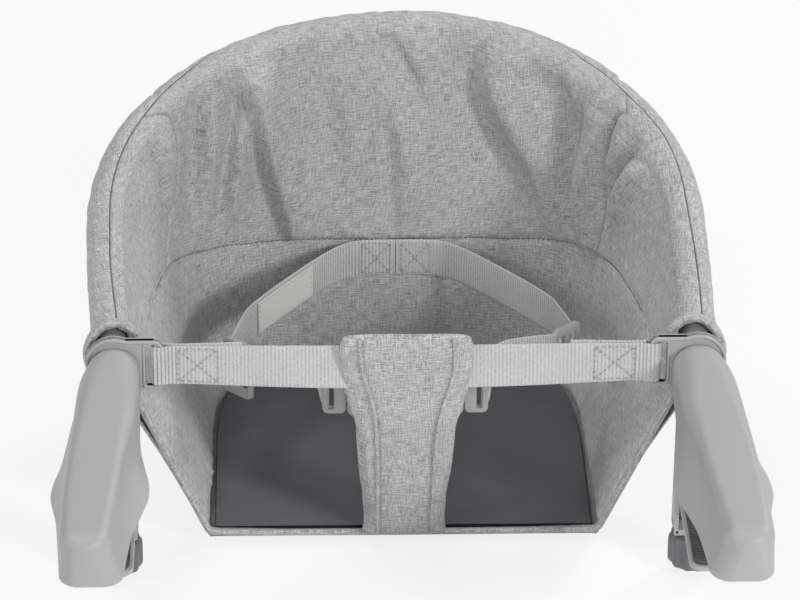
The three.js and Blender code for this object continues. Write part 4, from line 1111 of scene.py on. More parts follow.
def slack(points, down, seed):
    """Soft waves over a panel, with small puckers beside its upper and lower seams."""
    size = settings().cloth
    above_reach, below_reach, loose_reach = 0.014, 0.012, 0.034
    broad = waves(points, (17.0, 17.0, 9.0), seed)
    fine = waves(points, (60.0, 60.0, 22.0), seed + 7.0)
    pucker = waves(points, (135.0, 135.0, 30.0), seed + 13.0)
    near = 0.4 * np.exp(-down / above_reach) + np.exp(-(down[:, -1:] - down) / below_reach)
    loose = 0.3 + 0.7 * np.clip(down / loose_reach - 0.3, 0, 1)
    soft = size.slack_depth * loose * (broad + 0.35 * fine)
    return soft + size.pucker_depth * pucker * (1.5 * near + 0.25)


class Lining:
    """The whole lining as one field of places, from which its panels are cut along their seams."""

    def __init__(self):
        self.s = np.linspace(0, 1, 641)
        self.points = layer_points(self.s, 1, 18, 70, along_table(self.s, BAND_SEAM))

    def cut(self, first, last, steps):
        """Places between two seams. Each seam is a table of share down and share round."""
        columns = self.points.shape[1]
        down = np.linspace(0, 1, columns)
        start, end = along_table(down, first), along_table(down, last)
        s = start + (end - start) * np.linspace(0, 1, steps + 1)[:, None]
        return s, np.stack([read_along(s[:, j], self.s, self.points[:, j]) for j in range(columns)], 1)

    def panel(self, first, last, steps, seed, bias):
        """A panel between two seams, which sinks little towards the cover and has no folds on the rim."""
        sink, more_sink, sink_reach, rest_reach, fold_reach = 0.0007, 0.0035, 0.08, 0.030, 0.027
        s, points = self.cut(first, last, steps)
        _, down = grid_lengths(points)
        away = np.clip(down / rest_reach - 0.5, 0, 1)
        lowest = sink + more_sink * away * np.exp(-down / sink_reach)
        below_rim = np.clip(down / fold_reach - 0.15, 0, 1) ** 1.5
        lift = slack(points, down, seed) + folds(s, points[..., 2]) * below_rim + gathers(points, s, down)
        lift = np.where(lift < 0, -lowest * np.tanh(-lift / lowest), lift)
        return panel(points, lift, -1, bias)


def sheet_piece(name, shell, slot, node):
    thing = piece(name, shell, "frame", slot, [node], angle=SHEET_EDGE)
    return thing


# Shape of one stitch: places along it, its thickness there, and how far it stands out of the cloth
STITCH_SHARES = np.array([0.0, 0.18, 0.5, 0.82, 1.0])
STITCH_SWELL_SHARES = np.array([0.3, 0.9, 1.0, 0.9, 0.3])
STITCH_RISE_SHARES = np.array([-0.7, 0.15, 0.45, 0.15, -0.7])


def stitched(path, normals, thread_radius=None):
    """Stitches in a row along a path, lying on a surface with those normals."""
    size = settings().harness
    radius = size.thread_radius if thread_radius is None else thread_radius
    lengths = run_lengths(path)
    count = max(int(lengths[-1] / (size.stitch_length + size.stitch_gap)), 1)
    starts = np.arange(count) * (lengths[-1] / count)
    distance = starts[:, None] + size.stitch_length * STITCH_SHARES
    centre = read_along(distance, lengths, path)
    outward = unit(read_along(distance, lengths, normals))
    ahead = unit(centre[:, -1:] - centre[:, :1])
    beside = unit(np.cross(np.broadcast_to(ahead, outward.shape), outward))
    centre = centre + outward * (STITCH_RISE_SHARES * radius)[None, :, None]
    section = circle_section(5)
    offset = section[:, 0, None] * beside[:, :, None] + section[:, 1, None] * outward[:, :, None]
    rings = centre[:, :, None] + offset * (STITCH_SWELL_SHARES * radius)[None, :, None, None]
    return [lofted(one) for one in rings]


# Tube and cloth of the seat

def tube_path():
    steps, hoop_steps = 30, 240
    straight = np.linspace(TUBE_FRONT, HOOP_START, steps, endpoint=False)
    left = np.stack([np.full(steps, -ARM_X), straight, np.full(steps, AXIS_HEIGHT)], 1)
    hoop = hoop_point(np.linspace(0, 1, hoop_steps + 1))
    right = left[::-1] * np.array([-1, 1, 1])
    return leaned(np.vstack([left, hoop, right]))


class TABLECHAIR_OT_tube(Operator):
    """Bent tube that carries the seat and the arms"""
    bl_idname = "table_chair.tube"
    bl_label = "Bent tube"

    def execute(self, context):
        step = 0.003
        shell = tube(evenly(tube_path(), step), TUBE_RADIUS, 28)
        piece("bent_tube", shell, "frame", "tube_metal", ["hoop_tube"], angle=SOFT_EDGE)
        return {"FINISHED"}


class TABLECHAIR_OT_rim_tunnel(Operator):
    """Cloth tunnel round the tube, with a rolled cuff at each arm"""
    bl_idname = "table_chair.rim_tunnel"
    bl_label = "Rim tunnel"

    def execute(self, context):
        under_lining, sides = 0.0023, 24
        path = leaned(hoop_point(np.linspace(TUNNEL_START, 1 - TUNNEL_START, 261)))
        outer, inner = settings().cloth.rim_radius - under_lining, TUBE_RADIUS + CLEARANCE
        skin = tube(path, outer, sides).points.reshape(len(path), sides, 3)
        bore = tube(path, inner, sides).points.reshape(len(path), sides, 3)
        thing = soft_piece("rim_tunnel", looped(np.concatenate([skin, bore[::-1]])), replaced=["rim_sleeve"])
        return {"FINISHED"}


class TABLECHAIR_OT_lining(Operator):
    """Inner panels of the bucket: back with its folds, two sides and the band below the seam"""
    bl_idname = "table_chair.lining"
    bl_label = "Bucket lining"

    def execute(self, context):
        lining = Lining()
        left_edge, right_edge = ((0.0, 0.0), (1.0, 0.0)), ((0.0, 1.0), (1.0, 1.0))
        panels = (
            ("back_lining", LEFT_CORNER_SEAM, RIGHT_CORNER_SEAM, 280, 3.0, 0.0, "back_panel"),
            ("left_lining", left_edge, LEFT_CORNER_SEAM, 120, 11.0, 0.6, "left_side_panel"),
            ("right_lining", RIGHT_CORNER_SEAM, right_edge, 120, 19.0, -0.6, "right_side_panel"),
        )
        for name, first, last, steps, seed, bias, node in panels:
            shell, cut = lining.panel(first, last, steps, seed, bias)
            sheet_piece(name, shell, "seat_cloth", node)
        self.band()
        return {"FINISHED"}

    def band(self):
        rows, above_floor, slack_share = 40, 0.0006, 0.8
        s = np.linspace(0.0, 1.0, 281)
        top = along_table(s, BAND_SEAM)[:, None]
        z = top + (FLOOR_TOP + above_floor - top) * np.linspace(0, 1, rows)
        wide = np.repeat(s[:, None], rows, 1)
        points = wall_point(wide, z) + wall_inward(wide, z) * lining_reach(wide, z)[..., None]
        _, down = grid_lengths(points)
        shell, cut = panel(points, slack(points, down, 31.0) * slack_share, -1)
        sheet_piece("lower_lining", shell, "seat_cloth", "lower_band")


class TABLECHAIR_OT_cover(Operator):
    """Outer cover of the bucket, sewn from a back and two sides, with a bound front edge"""
    bl_idname = "table_chair.cover"
    bl_label = "Outer cover"

    def execute(self, context):
        shells, cuts = [], []
        left_back, right_back = CORNER_SHARE, 1 - CORNER_SHARE
        panels = (
            (0.0, left_back, 100, 41.0), (left_back, right_back, 140, 43.0), (right_back, 1.0, 100, 47.0),
        )
        for first, last, steps, seed in panels:
            s = np.linspace(first, last, steps + 1)
            points = layer_points(s, -1, 14, 70, SEAT_BOTTOM)
            _, down = grid_lengths(points)
            lift = slack(points, down, seed) + gathers(points, s[:, None], down)
            shell, cut = panel(points, lift, 1)
            shells.append(shell)
            cuts.append(cut)
        width = sum(cut[0] for cut in cuts)
        reach = max(cut[1] for cut in cuts)
        area = min(sum(cut[0] * cut[1] for cut in cuts), width * reach)
        thing = piece("outer_cover", shells, "frame", "seat_cloth", ["seat_cover"], angle=SHEET_EDGE)
        self.binding()
        return {"FINISHED"}

    def binding(self):
        """Bound edge from the left cuff down, across the front of the base and up to the other cuff."""
        radius = settings().cloth.hem_radius
        below_axis, above_base, corner_height, corner_in = 0.0125, 0.006, 0.0035, 0.002
        offset, step, steps = np.array([0.0011, -0.0002, 0.0]), 0.0025, 40
        z = np.linspace(AXIS_HEIGHT - below_axis, SEAT_BOTTOM + above_base, steps)
        corner = np.array([[-BASE_PLAN[0] + corner_in, BASE_PLAN[2], SEAT_BOTTOM + corner_height]])
        down = np.vstack([wall_point(np.zeros(steps), z) + offset, corner])
        path = rounded_path(np.vstack([down, down[::-1] * np.array([-1, 1, 1])]), step, 2)
        forward = np.array([0.0, -1.0, 0.0])
        thread = stitched(path + forward * radius * 1.4, np.tile(forward, (len(path), 1)))
        soft_piece("front_binding", tube(path, radius, 14, level=-forward, tall=HEM_TALL))
        soft_piece("binding_stitches", thread, finish="thread")


def filled_plan(plan, z, crown, towards, seed, wave):
    """A round-cornered sheet inside a plan, sewn along its border, with its middle raised by a crown."""
    steps, front_steps, rings, thickness, seam_rise = 180, 60, 30, 0.0012, 0.0006
    border = plan_point(np.linspace(0, 1, steps + 1), np.broadcast_to(plan, (steps + 1, 6)))
    front = np.linspace(border[-1], border[0], front_steps)[1:-1]
    border = np.vstack([border, front])
    middle = np.array([0.0, (plan[2] + plan[4]) / 2])
    inmost_share = 0.02
    share = np.linspace(1, inmost_share, rings + 1)
    flat = middle + (border[None] - middle) * share[:, None, None]
    full = shoulder(np.linalg.norm(border[None] - flat, axis=-1))
    points = np.concatenate([flat, np.full((*flat.shape[:2], 1), z)], -1)
    rise = crown * (1 - share[:, None] ** 2) + seam_rise * full
    rise = rise + wave * full * waves(points, (30.0, 30.0, 1.0), seed)
    points[..., 2] += towards * rise
    deep = towards * thickness * (SEWN_SHARE + (1 - SEWN_SHARE) * full)
    under = points - UP * deep[..., None]
    both = np.concatenate([points[::-1], under])
    place = np.concatenate([both[..., :2], np.zeros((*both.shape[:2], 1))], -1)
    return lofted(both, place), tuple(float(reach) for reach in np.ptp(border, axis=0))


class TABLECHAIR_OT_floor(Operator):
    """Floor of the bucket: base cloth below, and the dark coated panel on the board above"""
    bl_idname = "table_chair.floor"
    bl_label = "Bucket floor"

    def execute(self, context):
        inset, base_lift, base_crown, base_wave, top_crown = 0.003, 0.0008, 0.0006, 0.0004, 0.0012
        base, cut = filled_plan(BASE_PLAN, SEAT_BOTTOM + base_lift, base_crown, -1, 51.0, base_wave)
        sheet_piece("base_sheet", base, "seat_cloth", "base_cloth")
        plan = BASE_PLAN - np.array([inset, inset, 0, 0, inset, 0])
        top, cut = filled_plan(plan, FLOOR_TOP, top_crown, 1, 57.0, top_crown)
        sheet_piece("floor_sheet", top, "floor_cloth", "floor_panel")
        return {"FINISHED"}


class TABLECHAIR_OT_seat_stitching(Operator):
    """Rolled hems and stitching of the cuffs, and stitching beside the seams of the bucket"""
    bl_idname = "table_chair.seat_stitching"
    bl_label = "Seat stitching"

    def execute(self, context):
        hems, thread = [], []
        hem_radius, rows_behind = 0.0024, (0.0036, 0.0095)
        for end in (0.0, 1.0):
            path, _ = self.round_the_cuff(end, 0.0)
            hems.append(tube(path, hem_radius, 16, level=np.array([0.0, 1.0, 0.0]), tall=HEM_TALL))
            for reach in rows_behind:
                thread += stitched(*self.round_the_cuff(end, reach))
        soft_piece("cuff_hems", hems)
        soft_piece("cuff_stitches", thread, finish="thread")
        self.seam_rows()
        return {"FINISHED"}

    def round_the_cuff(self, end, reach):
        """Path round a cuff, over the cover and the lining, a way behind its edge, with its normals."""
        s, step = abs(end - reach / PATH_LENGTH), 0.001
        rows = [layer_points(np.array([s, s]), side, 22, 24, 0.0)[0][:36] for side in (-1, 1)]
        path = leaned(np.vstack([rows[0][::-1], rows[1][1:]]))
        outward = unit((path - leaned(hoop_point(np.array([s])))) * np.array([1.0, 0.0, 1.0]))
        path = path + outward * settings().cloth.thickness * 0.25
        lengths = run_lengths(path)
        even = evenly(path, step)
        return even, read_along(np.linspace(0, lengths[-1], len(even)), lengths, outward)

    def seam_rows(self):
        """Stitches of dark thread in the band's seam, whose darkness is partly painted shade of the seam, a
        pale row above it, and a dark line along the rim's seam that paints the seam's shade as well as its
        thread.
        """
        s = np.linspace(0.16, 0.82, 400)
        # The band seam's dark stitches are partly painted shade of the seam
        rows = (("seam_line", 0.0002, -0.0012, "seam_thread"), ("seam_stitches", 0.0040, 0.0001, "thread"))
        for name, above, lift, finish in rows:
            z = along_table(s, BAND_SEAM) + above
            inward = wall_inward(s, z)
            path = leaned(wall_point(s, z) + inward * (lining_reach(s, z) + lift)[:, None])
            soft_piece(name, stitched(path, inward), finish=finish)
        s = np.linspace(0.002, 0.998, 700)
        radius, sunk = 0.0005, 0.0012
        rim = layer_points(s, 1, 18, 70, 0.0)
        outward = unit(rim[:, 0] - hoop_point(s))
        # Dark line sunk in the rim's seam: painted shade of the seam, along with its thread
        line = tube(leaned(rim[:, 0] - outward * sunk), radius, 8)
        soft_piece("rim_seam_painted_shade", line, finish="seam_thread")


# Webbing

WEBBING_SECTION = np.array([
    (-1, 0), (-0.985, 0.75), (-0.9, 1), (-0.45, 1), (0, 1), (0.45, 1), (0.9, 1), (0.985, 0.75),
    (1, 0), (0.985, -0.75), (0.9, -1), (0.45, -1), (0, -1), (-0.45, -1), (-0.9, -1), (-0.985, -0.75),
])


class Band:
    """A length of webbing along a path, with its width along a direction at each point."""

    def __init__(self, points, widthway, passes=3):
        size = settings().harness
        self.step = size.rib_pitch / 4
        self.path = rounded_path(points, self.step, passes)
        if callable(widthway):
            widthway = widthway(self.path)
        self.widthway = unit(np.broadcast_to(widthway, self.path.shape))
        self.face = unit(np.cross(directions(self.path), self.widthway))
        self.along = run_lengths(self.path)
        self.opened = self.rib_opening()

    def rib_opening(self):
        """How far the ribs are open: little where the webbing is straight, and fully where it bends."""
        full_bend, still = 32.0, 0.4
        turning = np.linalg.norm(np.gradient(directions(self.path), axis=0), axis=1) / self.step
        reach = np.ones(25) / 25
        turning = np.convolve(np.pad(turning, 12, mode="edge"), reach, "valid")
        return still + (1 - still) * np.clip(turning / full_bend, 0, 1)

    def shell(self):
        size = settings().harness
        rib = self.opened * size.rib_depth * np.cos(2 * np.pi * self.along / size.rib_pitch)
        half_width = size.webbing_width / 2 + rib * 0.4
        half_deep = size.webbing_thickness / 2 - size.rib_depth + rib
        across, deep = WEBBING_SECTION[:, 0], WEBBING_SECTION[:, 1]
        rings = (
            self.path[:, None]
            + self.widthway[:, None] * (half_width[:, None] * across)[..., None]
            + self.face[:, None] * (half_deep[:, None] * deep)[..., None]
        )
        place = np.zeros(rings.shape)
        place[..., 0] = self.along[:, None]
        place[..., 1] = across * size.webbing_width / 2
        place[..., 2] = self.opened[:, None]
        return lofted(rings, place)

    def at(self, distance, across, side):
        """A point on the band's face, and the face's normal there."""
        size = settings().harness
        distance = np.atleast_1d(distance)
        rows = (self.path, self.widthway, self.face)
        middle, widthway, face = [read_along(distance, self.along, row) for row in rows]
        reach = size.webbing_thickness / 2 + size.thread_radius * 0.3
        return middle + widthway * np.reshape(across, (-1, 1)) + face * side * reach, face * side

    def row(self, start, end, side):
        """Stitches in a straight line between two places, each a distance along and one across."""
        share = np.linspace(0, 1, 60)
        distance = start[0] + (end[0] - start[0]) * share
        across = start[1] + (end[1] - start[1]) * share
        points, normals = self.at(distance, across, side)
        return stitched(points, normals)

    def box_and_cross(self, first, last, side):
        """A sewn box with a cross in it, over the band's full width."""
        from_edge = 0.0022
        half = settings().harness.webbing_width / 2 - from_edge
        corners = [(first, -half), (first, half), (last, half), (last, -half)]
        lines = list(zip(corners, corners[1:] + corners[:1]))
        lines += [(corners[0], corners[2]), (corners[1], corners[3])]
        return [shell for start, end in lines for shell in self.row(start, end, side)]


class TABLECHAIR_OT_front_strap(Operator):
    """Front strap through both collars' slots, sewn back on itself at each end"""
    bl_idname = "table_chair.front_strap"
    bl_label = "Front strap"

    def execute(self, context):
        half = [
            (0.0950, 0.0295), (0.1362, 0.0295), (0.1410, 0.0312), (0.1455, 0.0312), (0.1469, 0.0296),
            (0.1469, 0.0265), (0.1455, 0.0250), (0.1410, 0.0250), (0.1362, 0.0274),
        ]
        left = [(-x, y, STRAP_MIDDLE) for x, y in half]
        right = [(x, y, STRAP_MIDDLE) for x, y in reversed(half)]
        hangs_from = 0.045
        sagging = [(x, STRAP_Y, STRAP_MIDDLE - STRAP_SAG) for x in (-hangs_from, hangs_from)]

        def leaning(path):
            """The strap's middle lies back, as the pad pulls on it."""
            reach = 0.100
            share = np.clip(1.3 - np.abs(path[:, 0]) / reach, 0, 1)
            return UP + np.outer(0.42 * share, (0.0, 1.0, 0.0))

        band = Band([*left, *sagging, *right], leaning)
        total = band.along[-1]
        soft_piece("front_band", band.shell(), "webbing", ["front_strap"])
        facing = -1 if band.at(total / 2, 0.0, 1)[1][0, 1] > 0 else 1
        start, end = 0.0710, 0.0940
        thread = band.box_and_cross(start, end, facing)
        thread += band.box_and_cross(total - end, total - start, facing)
        soft_piece("front_band_stitches", thread, "webbing", finish="thread")
        return {"FINISHED"}


def adjuster_end(side, reach, rise=0.0):
    """A place on the adjuster's length, turned with it."""
    x = ADJUSTER_X + reach * math.sin(ADJUSTER_YAW)
    return side * x, ADJUSTER_Y + reach * math.cos(ADJUSTER_YAW), ADJUSTER_HEIGHTS[side] + rise


def waist_points(side):
    """Places along one half of the waist strap, from its adjuster to the middle of the seat's back."""
    start_y = ADJUSTER_Y + ADJUSTER_HALF
    height = ADJUSTER_HEIGHTS[side]
    turns = ((0.985, 0.22, 0.2), (0.93, 0.36, 0.35), (0.52, 0.81, 0.8), (0.34, 0.965, 0.95))
    in_adjuster, sewn = (0.004, 0.009), (0.020, 0.0003)
    points = [adjuster_end(side, reach) for reach in in_adjuster]
    for out, deep, down in turns:
        y = start_y + (WAIST_BACK - start_y) * deep
        points.append((side * out * ADJUSTER_X, y, height + (WAIST_HEIGHT - height) * down))
    return points + [(side * x, WAIST_BACK, WAIST_HEIGHT) for x in sewn]


class TABLECHAIR_OT_waist_straps(Operator):
    """Waist strap in two halves, sewn at the back, with an adjuster and a forward strap on each side"""
    bl_idname = "table_chair.waist_straps"
    bl_label = "Waist straps"

    def execute(self, context):
        for word, side in SIDES.items():
            self.back_half(word, side)
            self.front_half(word, side)
            self.adjuster(word, side)
        return {"FINISHED"}

    def back_half(self, word, side):
        band = Band(waist_points(side), UP)
        thing = object_of(f"{word}_waist_band", band.shell())
        smoothed(thing, SOFT_EDGE)
        thing.data.materials.append(finish_of("webbing"))
        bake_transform(thing)
        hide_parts(f"{word}_waist_strap")
        total = band.along[-1]
        inner = 1 if band.at(total, 0.0, 1)[1][0, 1] < 0 else -1
        first, last = 0.0210, 0.0030
        thread = band.box_and_cross(total - first, total - last, inner)
        soft_piece(f"{word}_waist_stitches", thread, "webbing", finish="thread")

    def front_half(self, word, side):
        height = ADJUSTER_HEIGHTS[side]
        start, straight, end = 0.0446, 0.004, ADJUSTER_Y - ADJUSTER_HALF
        turns = ((0.12, 0.30, 0.10, 0.0100), (0.55, 0.62, 0.60, 0.0112), (0.85, 0.88, 0.85, 0.0080))
        points = [(side * x, TONGUE_Y, BUCKLE_MIDDLE) for x in (start, start + straight)]
        for out, deep, down, rise in turns:
            x = start + (ADJUSTER_X - start) * out
            y = TONGUE_Y + (end - TONGUE_Y) * deep
            points.append((side * x, y, BUCKLE_MIDDLE + (height - BUCKLE_MIDDLE) * down + rise))
        in_adjuster = ((-0.009, 0.0035), (-0.004, 0.003))
        points += [adjuster_end(side, reach, rise) for reach, rise in in_adjuster]
        shell = Band(points, UP).shell()
        soft_piece(
            f"{word}_forward_band", shell, "webbing", [f"{word}_forward_strap"], body=f"{word}_tongue",
        )

    def adjuster(self, word, side):
        half_long, half_wide, bar, half_thick = ADJUSTER_HALF, 0.0185, 0.0032, 0.0018
        corner, half_slot, slot_corner, bar_end, bar_radius = 0.004, 0.0131, 0.0012, 0.002, 0.0021
        outlines = [rounded_box(-half_long, -half_wide, half_long, half_wide, corner)]
        for first in (bar / 2, bar - half_long):
            last = first + half_long - 1.5 * bar
            outlines.append(rounded_box(first, -half_slot, last, half_slot, slot_corner))
        shells = [plate(outlines, -half_thick, half_thick, settings().moulding.edge, "x")]
        for reach in (0.0, half_long - bar / 2, bar / 2 - half_long):
            ends = [(0.0, reach, -half_wide + bar_end), (0.0, reach, half_wide - bar_end)]
            shells.append(tube(ends, bar_radius, 16, level=np.array([0.0, 1.0, 0.0])))
        whole = merged(shells)
        cosine, sine = math.cos(ADJUSTER_YAW), math.sin(ADJUSTER_YAW)
        x, y, z = whole.points.T
        whole.points = np.stack([x * cosine + y * sine, y * cosine - x * sine, z], 1)
        placed = whole.moved(ADJUSTER_X, ADJUSTER_Y, ADJUSTER_HEIGHTS[side]).on_side(side)
        name, node = f"{word}_adjuster_frame", f"{word}_adjuster"
        piece(name, placed, f"{word}_tongue", "buckle_plastic", [node])


class TABLECHAIR_OT_buckle(Operator):
    """Buckle body, its two tongues and the short strap that holds it"""
    bl_idname = "table_chair.buckle"
    bl_label = "Buckle"

    def execute(self, context):
        edge = settings().moulding.edge
        wall, corner, recess = 0.0032, 0.005, 0.001
        half_core, core_gap, core_corner = 0.0160, 0.0006, 0.003
        rail, rail_foot, rail_in, rail_corner = 0.006, 0.0003, 0.0008, 0.002
        half_button, button_corner, button_rise, button_edge = 0.0095, 0.0042, 0.0004, 0.0003
        low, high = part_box("buckle_body")
        front, back = low[1] + recess, high[1] - recess
        outline = rounded_box(low[0], low[2], high[0], high[2], corner)
        core = rounded_box(-half_core, low[2] + core_gap, half_core, high[2] - core_gap, core_corner)
        bottom, top = BUCKLE_MIDDLE - half_button, BUCKLE_MIDDLE + half_button
        button = rounded_box(-half_button, bottom, half_button, top, button_corner)
        body = [
            plate([outline], low[1], low[1] + wall, edge, "y"),
            plate([outline], high[1] - wall, high[1], edge, "y"),
            plate([core], front, back, edge, "y"),
        ]
        for foot in (low[2] + rail_foot, high[2] - rail_foot - rail):
            bar = rounded_box(low[0] + rail_in, foot, high[0] - rail_in, foot + rail, rail_corner)
            body.append(plate([bar], front, back, edge, "y"))
        body.append(plate([button], high[1] - button_rise, high[1] + button_rise, button_edge, "y"))
        piece("buckle_housing", body, "frame", "buckle_plastic", ["buckle_body"])
        for word, side in SIDES.items():
            self.tongue(word, side)
        self.holding_strap()
        return {"FINISHED"}

    def tongue(self, word, side):
        edge = settings().moulding.edge
        low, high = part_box("right_buckle_tongue")
        root, corner, prong_in, prong_corner, prong_gap = 0.0346, 0.0036, 0.002, 0.0014, 0.0006
        window_start, window_end, half_window, window_corner = 0.0418, 0.0450, 0.0131, 0.0008
        outline = rounded_box(root, low[2], high[0], high[2], corner)
        bottom, top = BUCKLE_MIDDLE - half_window, BUCKLE_MIDDLE + half_window
        window = rounded_box(window_start, bottom, window_end, top, window_corner)
        parts = [plate([outline, window], low[1], high[1], edge, "y")]
        prongs = ((-0.0065, 0.0022), (0.0065, 0.0022), (0.0, 0.0026))
        for centre, half in prongs:
            bottom, top = BUCKLE_MIDDLE + centre - half, BUCKLE_MIDDLE + centre + half
            prong = rounded_box(low[0], bottom, root + prong_in, top, prong_corner)
            parts.append(plate([prong], low[1] + prong_gap, high[1] - prong_gap, edge / 2, "y"))
        name, node = f"{word}_tongue_moulding", f"{word}_buckle_tongue"
        piece(name, merged(parts).on_side(side), f"{word}_tongue", "buckle_plastic", [node])

    def holding_strap(self):
        low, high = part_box("crotch_strap")
        points = [
            (0.0, high[1], low[2] + 0.0008), (0.0, 0.0482, low[2] + 0.0016), (0.0, 0.0466, low[2] + 0.0125),
            (0.0, TONGUE_Y, high[2]),
        ]
        band = Band(points, np.array([1.0, 0.0, 0.0]))
        soft_piece("buckle_strap", band.shell(), "webbing", ["crotch_strap"])


class TABLECHAIR_OT_label(Operator):
    """Blank cloth label, sewn to the left waist strap"""
    bl_idname = "table_chair.label"
    bl_label = "Blank label"

    def execute(self, context):
        band = Band(waist_points(-1), UP)
        first, last = self.nearest(band, "label_tab")
        steps, columns, half, inset = 40, 18, 0.0105, 0.0014
        front_gap, wave_height, back_gap, thread_radius = 0.0008, 0.0004, 0.0003, 0.00018
        distance = np.linspace(first, last, steps)
        across = np.linspace(-half, half, columns)
        side = 1 if band.at(distance[steps // 2], 0.0, 1)[1][0, 0] > 0 else -1
        rows = np.stack([band.at(distance, np.full(steps, a), side)[0] for a in across], 1)
        normal = band.at(distance, 0.0, side)[1][:, None]
        wave = waves(rows, (70.0, 70.0, 70.0), 5.0)[..., None]
        both = np.stack([rows + normal * (front_gap + wave_height * wave), rows + normal * back_gap])
        reach, width = last - first, across[-1] - across[0]
        place = np.zeros((2, steps, columns, 3))
        place[..., 0] = distance[:, None]
        place[..., 1] = across
        shell = Shell(both, sheet_faces(steps, columns), place)
        thing = piece("blank_label", shell, "frame", "label_cloth", ["label_tab"])
        start, end = first + inset, last - inset
        loop = [(start, -1), (end, -1), (end, 1), (start, 1), (start, -1)]
        shells = []
        for (d0, a0), (d1, a1) in zip(loop, loop[1:]):
            share = np.linspace(0, 1, 50)
            path, face = band.at(d0 + (d1 - d0) * share, (a0 + (a1 - a0) * share) * (width / 2 - inset), side)
            shells += stitched(path + face * front_gap, face, thread_radius)
        soft_piece("label_stitches", shells, "label_cloth", finish="thread")
        return {"FINISHED"}

    def nearest(self, band, node):
        """The stretch of the band beside a node."""
        low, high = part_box(node)
        inside = (band.path[:, 1] > low[1]) & (band.path[:, 1] < high[1])
        return float(band.along[inside][0]), float(band.along[inside][-1])


# Crotch pad

# The crotch pad: its ends' heights, half widths at its top, waist and foot, depths at its top and below
PAD_TOP = 0.038
PAD_FOOT = -0.109
PAD_HALVES = (0.0405, 0.0345, 0.027)
PAD_DEPTHS = (0.013, 0.0056)
PAD_CORNER = 0.0065
PAD_FOOT_Y = 0.041


def pad_ring(share, shrink):
    """One level ring of the crotch pad, at a share of the way down it."""
    def mix(a, b, t):
        return a + (b - a) * t

    waist, thin, below = eased(share, 0.15, 0.45), eased(share, 0.3, 0.55), eased(share, 0.25, 1.0)
    closing = mix(0.45, 1.0, math.sqrt(min(share / 0.07, 1.0)))
    top_half, waist_half, foot_half = PAD_HALVES
    half = mix(mix(top_half, waist_half, waist), foot_half, below * below)
    half = half - (1 - closing) * PAD_CORNER - shrink
    thick = mix(*PAD_DEPTHS, thin) * closing - shrink
    y = mix(STRAP_Y, PAD_FOOT_Y, below)
    z = mix(PAD_TOP - shrink, PAD_FOOT + shrink, share)
    sides = 64
    angle = np.arange(sides) / sides * 2 * np.pi
    across = half * np.sign(np.cos(angle)) * np.abs(np.cos(angle)) ** 0.45
    outward = thick / 2 * np.sign(np.sin(angle)) * np.abs(np.sin(angle)) ** 0.75
    return np.stack([across, y + outward, np.full(sides, z)], 1)


def swollen(shell, cap):
    """The shell filled like a pad: blown up by a cloth simulation and kept within a cap."""
    pad = object_of("pad_cloth", shell)
    cloth = pad.modifiers.new("cloth", "CLOTH")
    cloth.settings.use_pressure = True
    cloth.settings.uniform_pressure_force = 4.0
    cloth.settings.effector_weights.gravity = 0.0
    cloth.settings.mass = 0.15
    cloth.settings.tension_stiffness = 12.0
    cloth.settings.compression_stiffness = 12.0
    cloth.settings.bending_stiffness = 0.3
    scene = bpy.context.scene
    for number in range(1, 21):
        scene.frame_set(number)
    blown = evaluated_shell(pad)
    scene.frame_set(1)
    dropped(pad)
    step = blown.points - shell.points
    step -= step.mean(0)
    reach = np.linalg.norm(step, axis=1, keepdims=True)
    return Shell(shell.points + step * np.minimum(1.0, cap / np.maximum(reach, 1e-9)), shell.faces)


class TABLECHAIR_OT_crotch_pad(Operator):
    """Padded sleeve round the middle of the front strap, with two piped seams"""
    bl_idname = "table_chair.crotch_pad"
    bl_label = "Crotch pad"

    def execute(self, context):
        shrink, depth = 0.0012, 0.0005
        shares = np.r_[np.linspace(0, 0.07, 6), np.linspace(0.088, 0.985, 52), 1.0]
        shell = lofted([pad_ring(share, shrink) for share in shares])
        shell = swollen(shell, settings().harness.pad_reach)
        thing = object_of("crotch_cushion", shell)
        smooth = thing.modifiers.new("smooth", "SUBSURF")
        smooth.levels = 1
        smooth.render_levels = 1
        final = evaluated_shell(thing)
        dropped(thing)
        final.points[:, 1] += depth * waves(final.points, (45.0, 45.0, 28.0), 71.0)
        final.points[:, 1] += depth * 0.5 * waves(final.points, (130.0, 130.0, 60.0), 73.0)
        final.place = final.points[:, [0, 2, 1]]
        pad = piece("crotch_cushion", final, "frame", "seat_cloth", ["crotch_pad"], angle=PAD_EDGE)
        self.piping(pad)
        return {"FINISHED"}

    def piping(self, pad):
        tree = BVHTree.FromObject(pad, bpy.context.evaluated_depsgraph_get())
        before, sunk, step, beside_piping = 0.2, 0.0003, 0.0015, 0.0024
        left = (
            (-0.0275, 0.0365), (-0.0268, 0.0200), (-0.0235, 0.0080), (-0.0185, -0.0080), (-0.0165, -0.0400),
            (-0.0160, -0.1050),
        )
        right = (
            (0.0275, 0.0365), (0.0278, 0.0200), (0.0262, 0.0080), (0.0200, -0.0080), (0.0170, -0.0400),
            (0.0160, -0.1050),
        )
        size = settings().harness
        cords, thread = [], []
        for points in (left, right):
            line = rounded_path([(x, 0.0, z) for x, z in points], step)
            found = []
            for x, _, z in line:
                hit, normal, _, _ = tree.ray_cast(Vector((x, -before, z)), Vector((0, 1, 0)))
                if hit is not None:
                    found.append((tuple(hit), tuple(normal)))
            path = np.array([hit for hit, _ in found])
            normals = np.array([normal for _, normal in found])
            cords.append(tube(path + normals * size.piping_radius * 0.35, size.piping_radius, 10))
            beside = np.where(path[:, :1] > 0, -1.0, 1.0) * np.array([[beside_piping, 0.0, 0.0]])
            thread += stitched(path + beside - np.array([0, sunk, 0]), normals)
        soft_piece("pad_piping", cords)
        soft_piece("pad_stitches", thread, finish="thread")


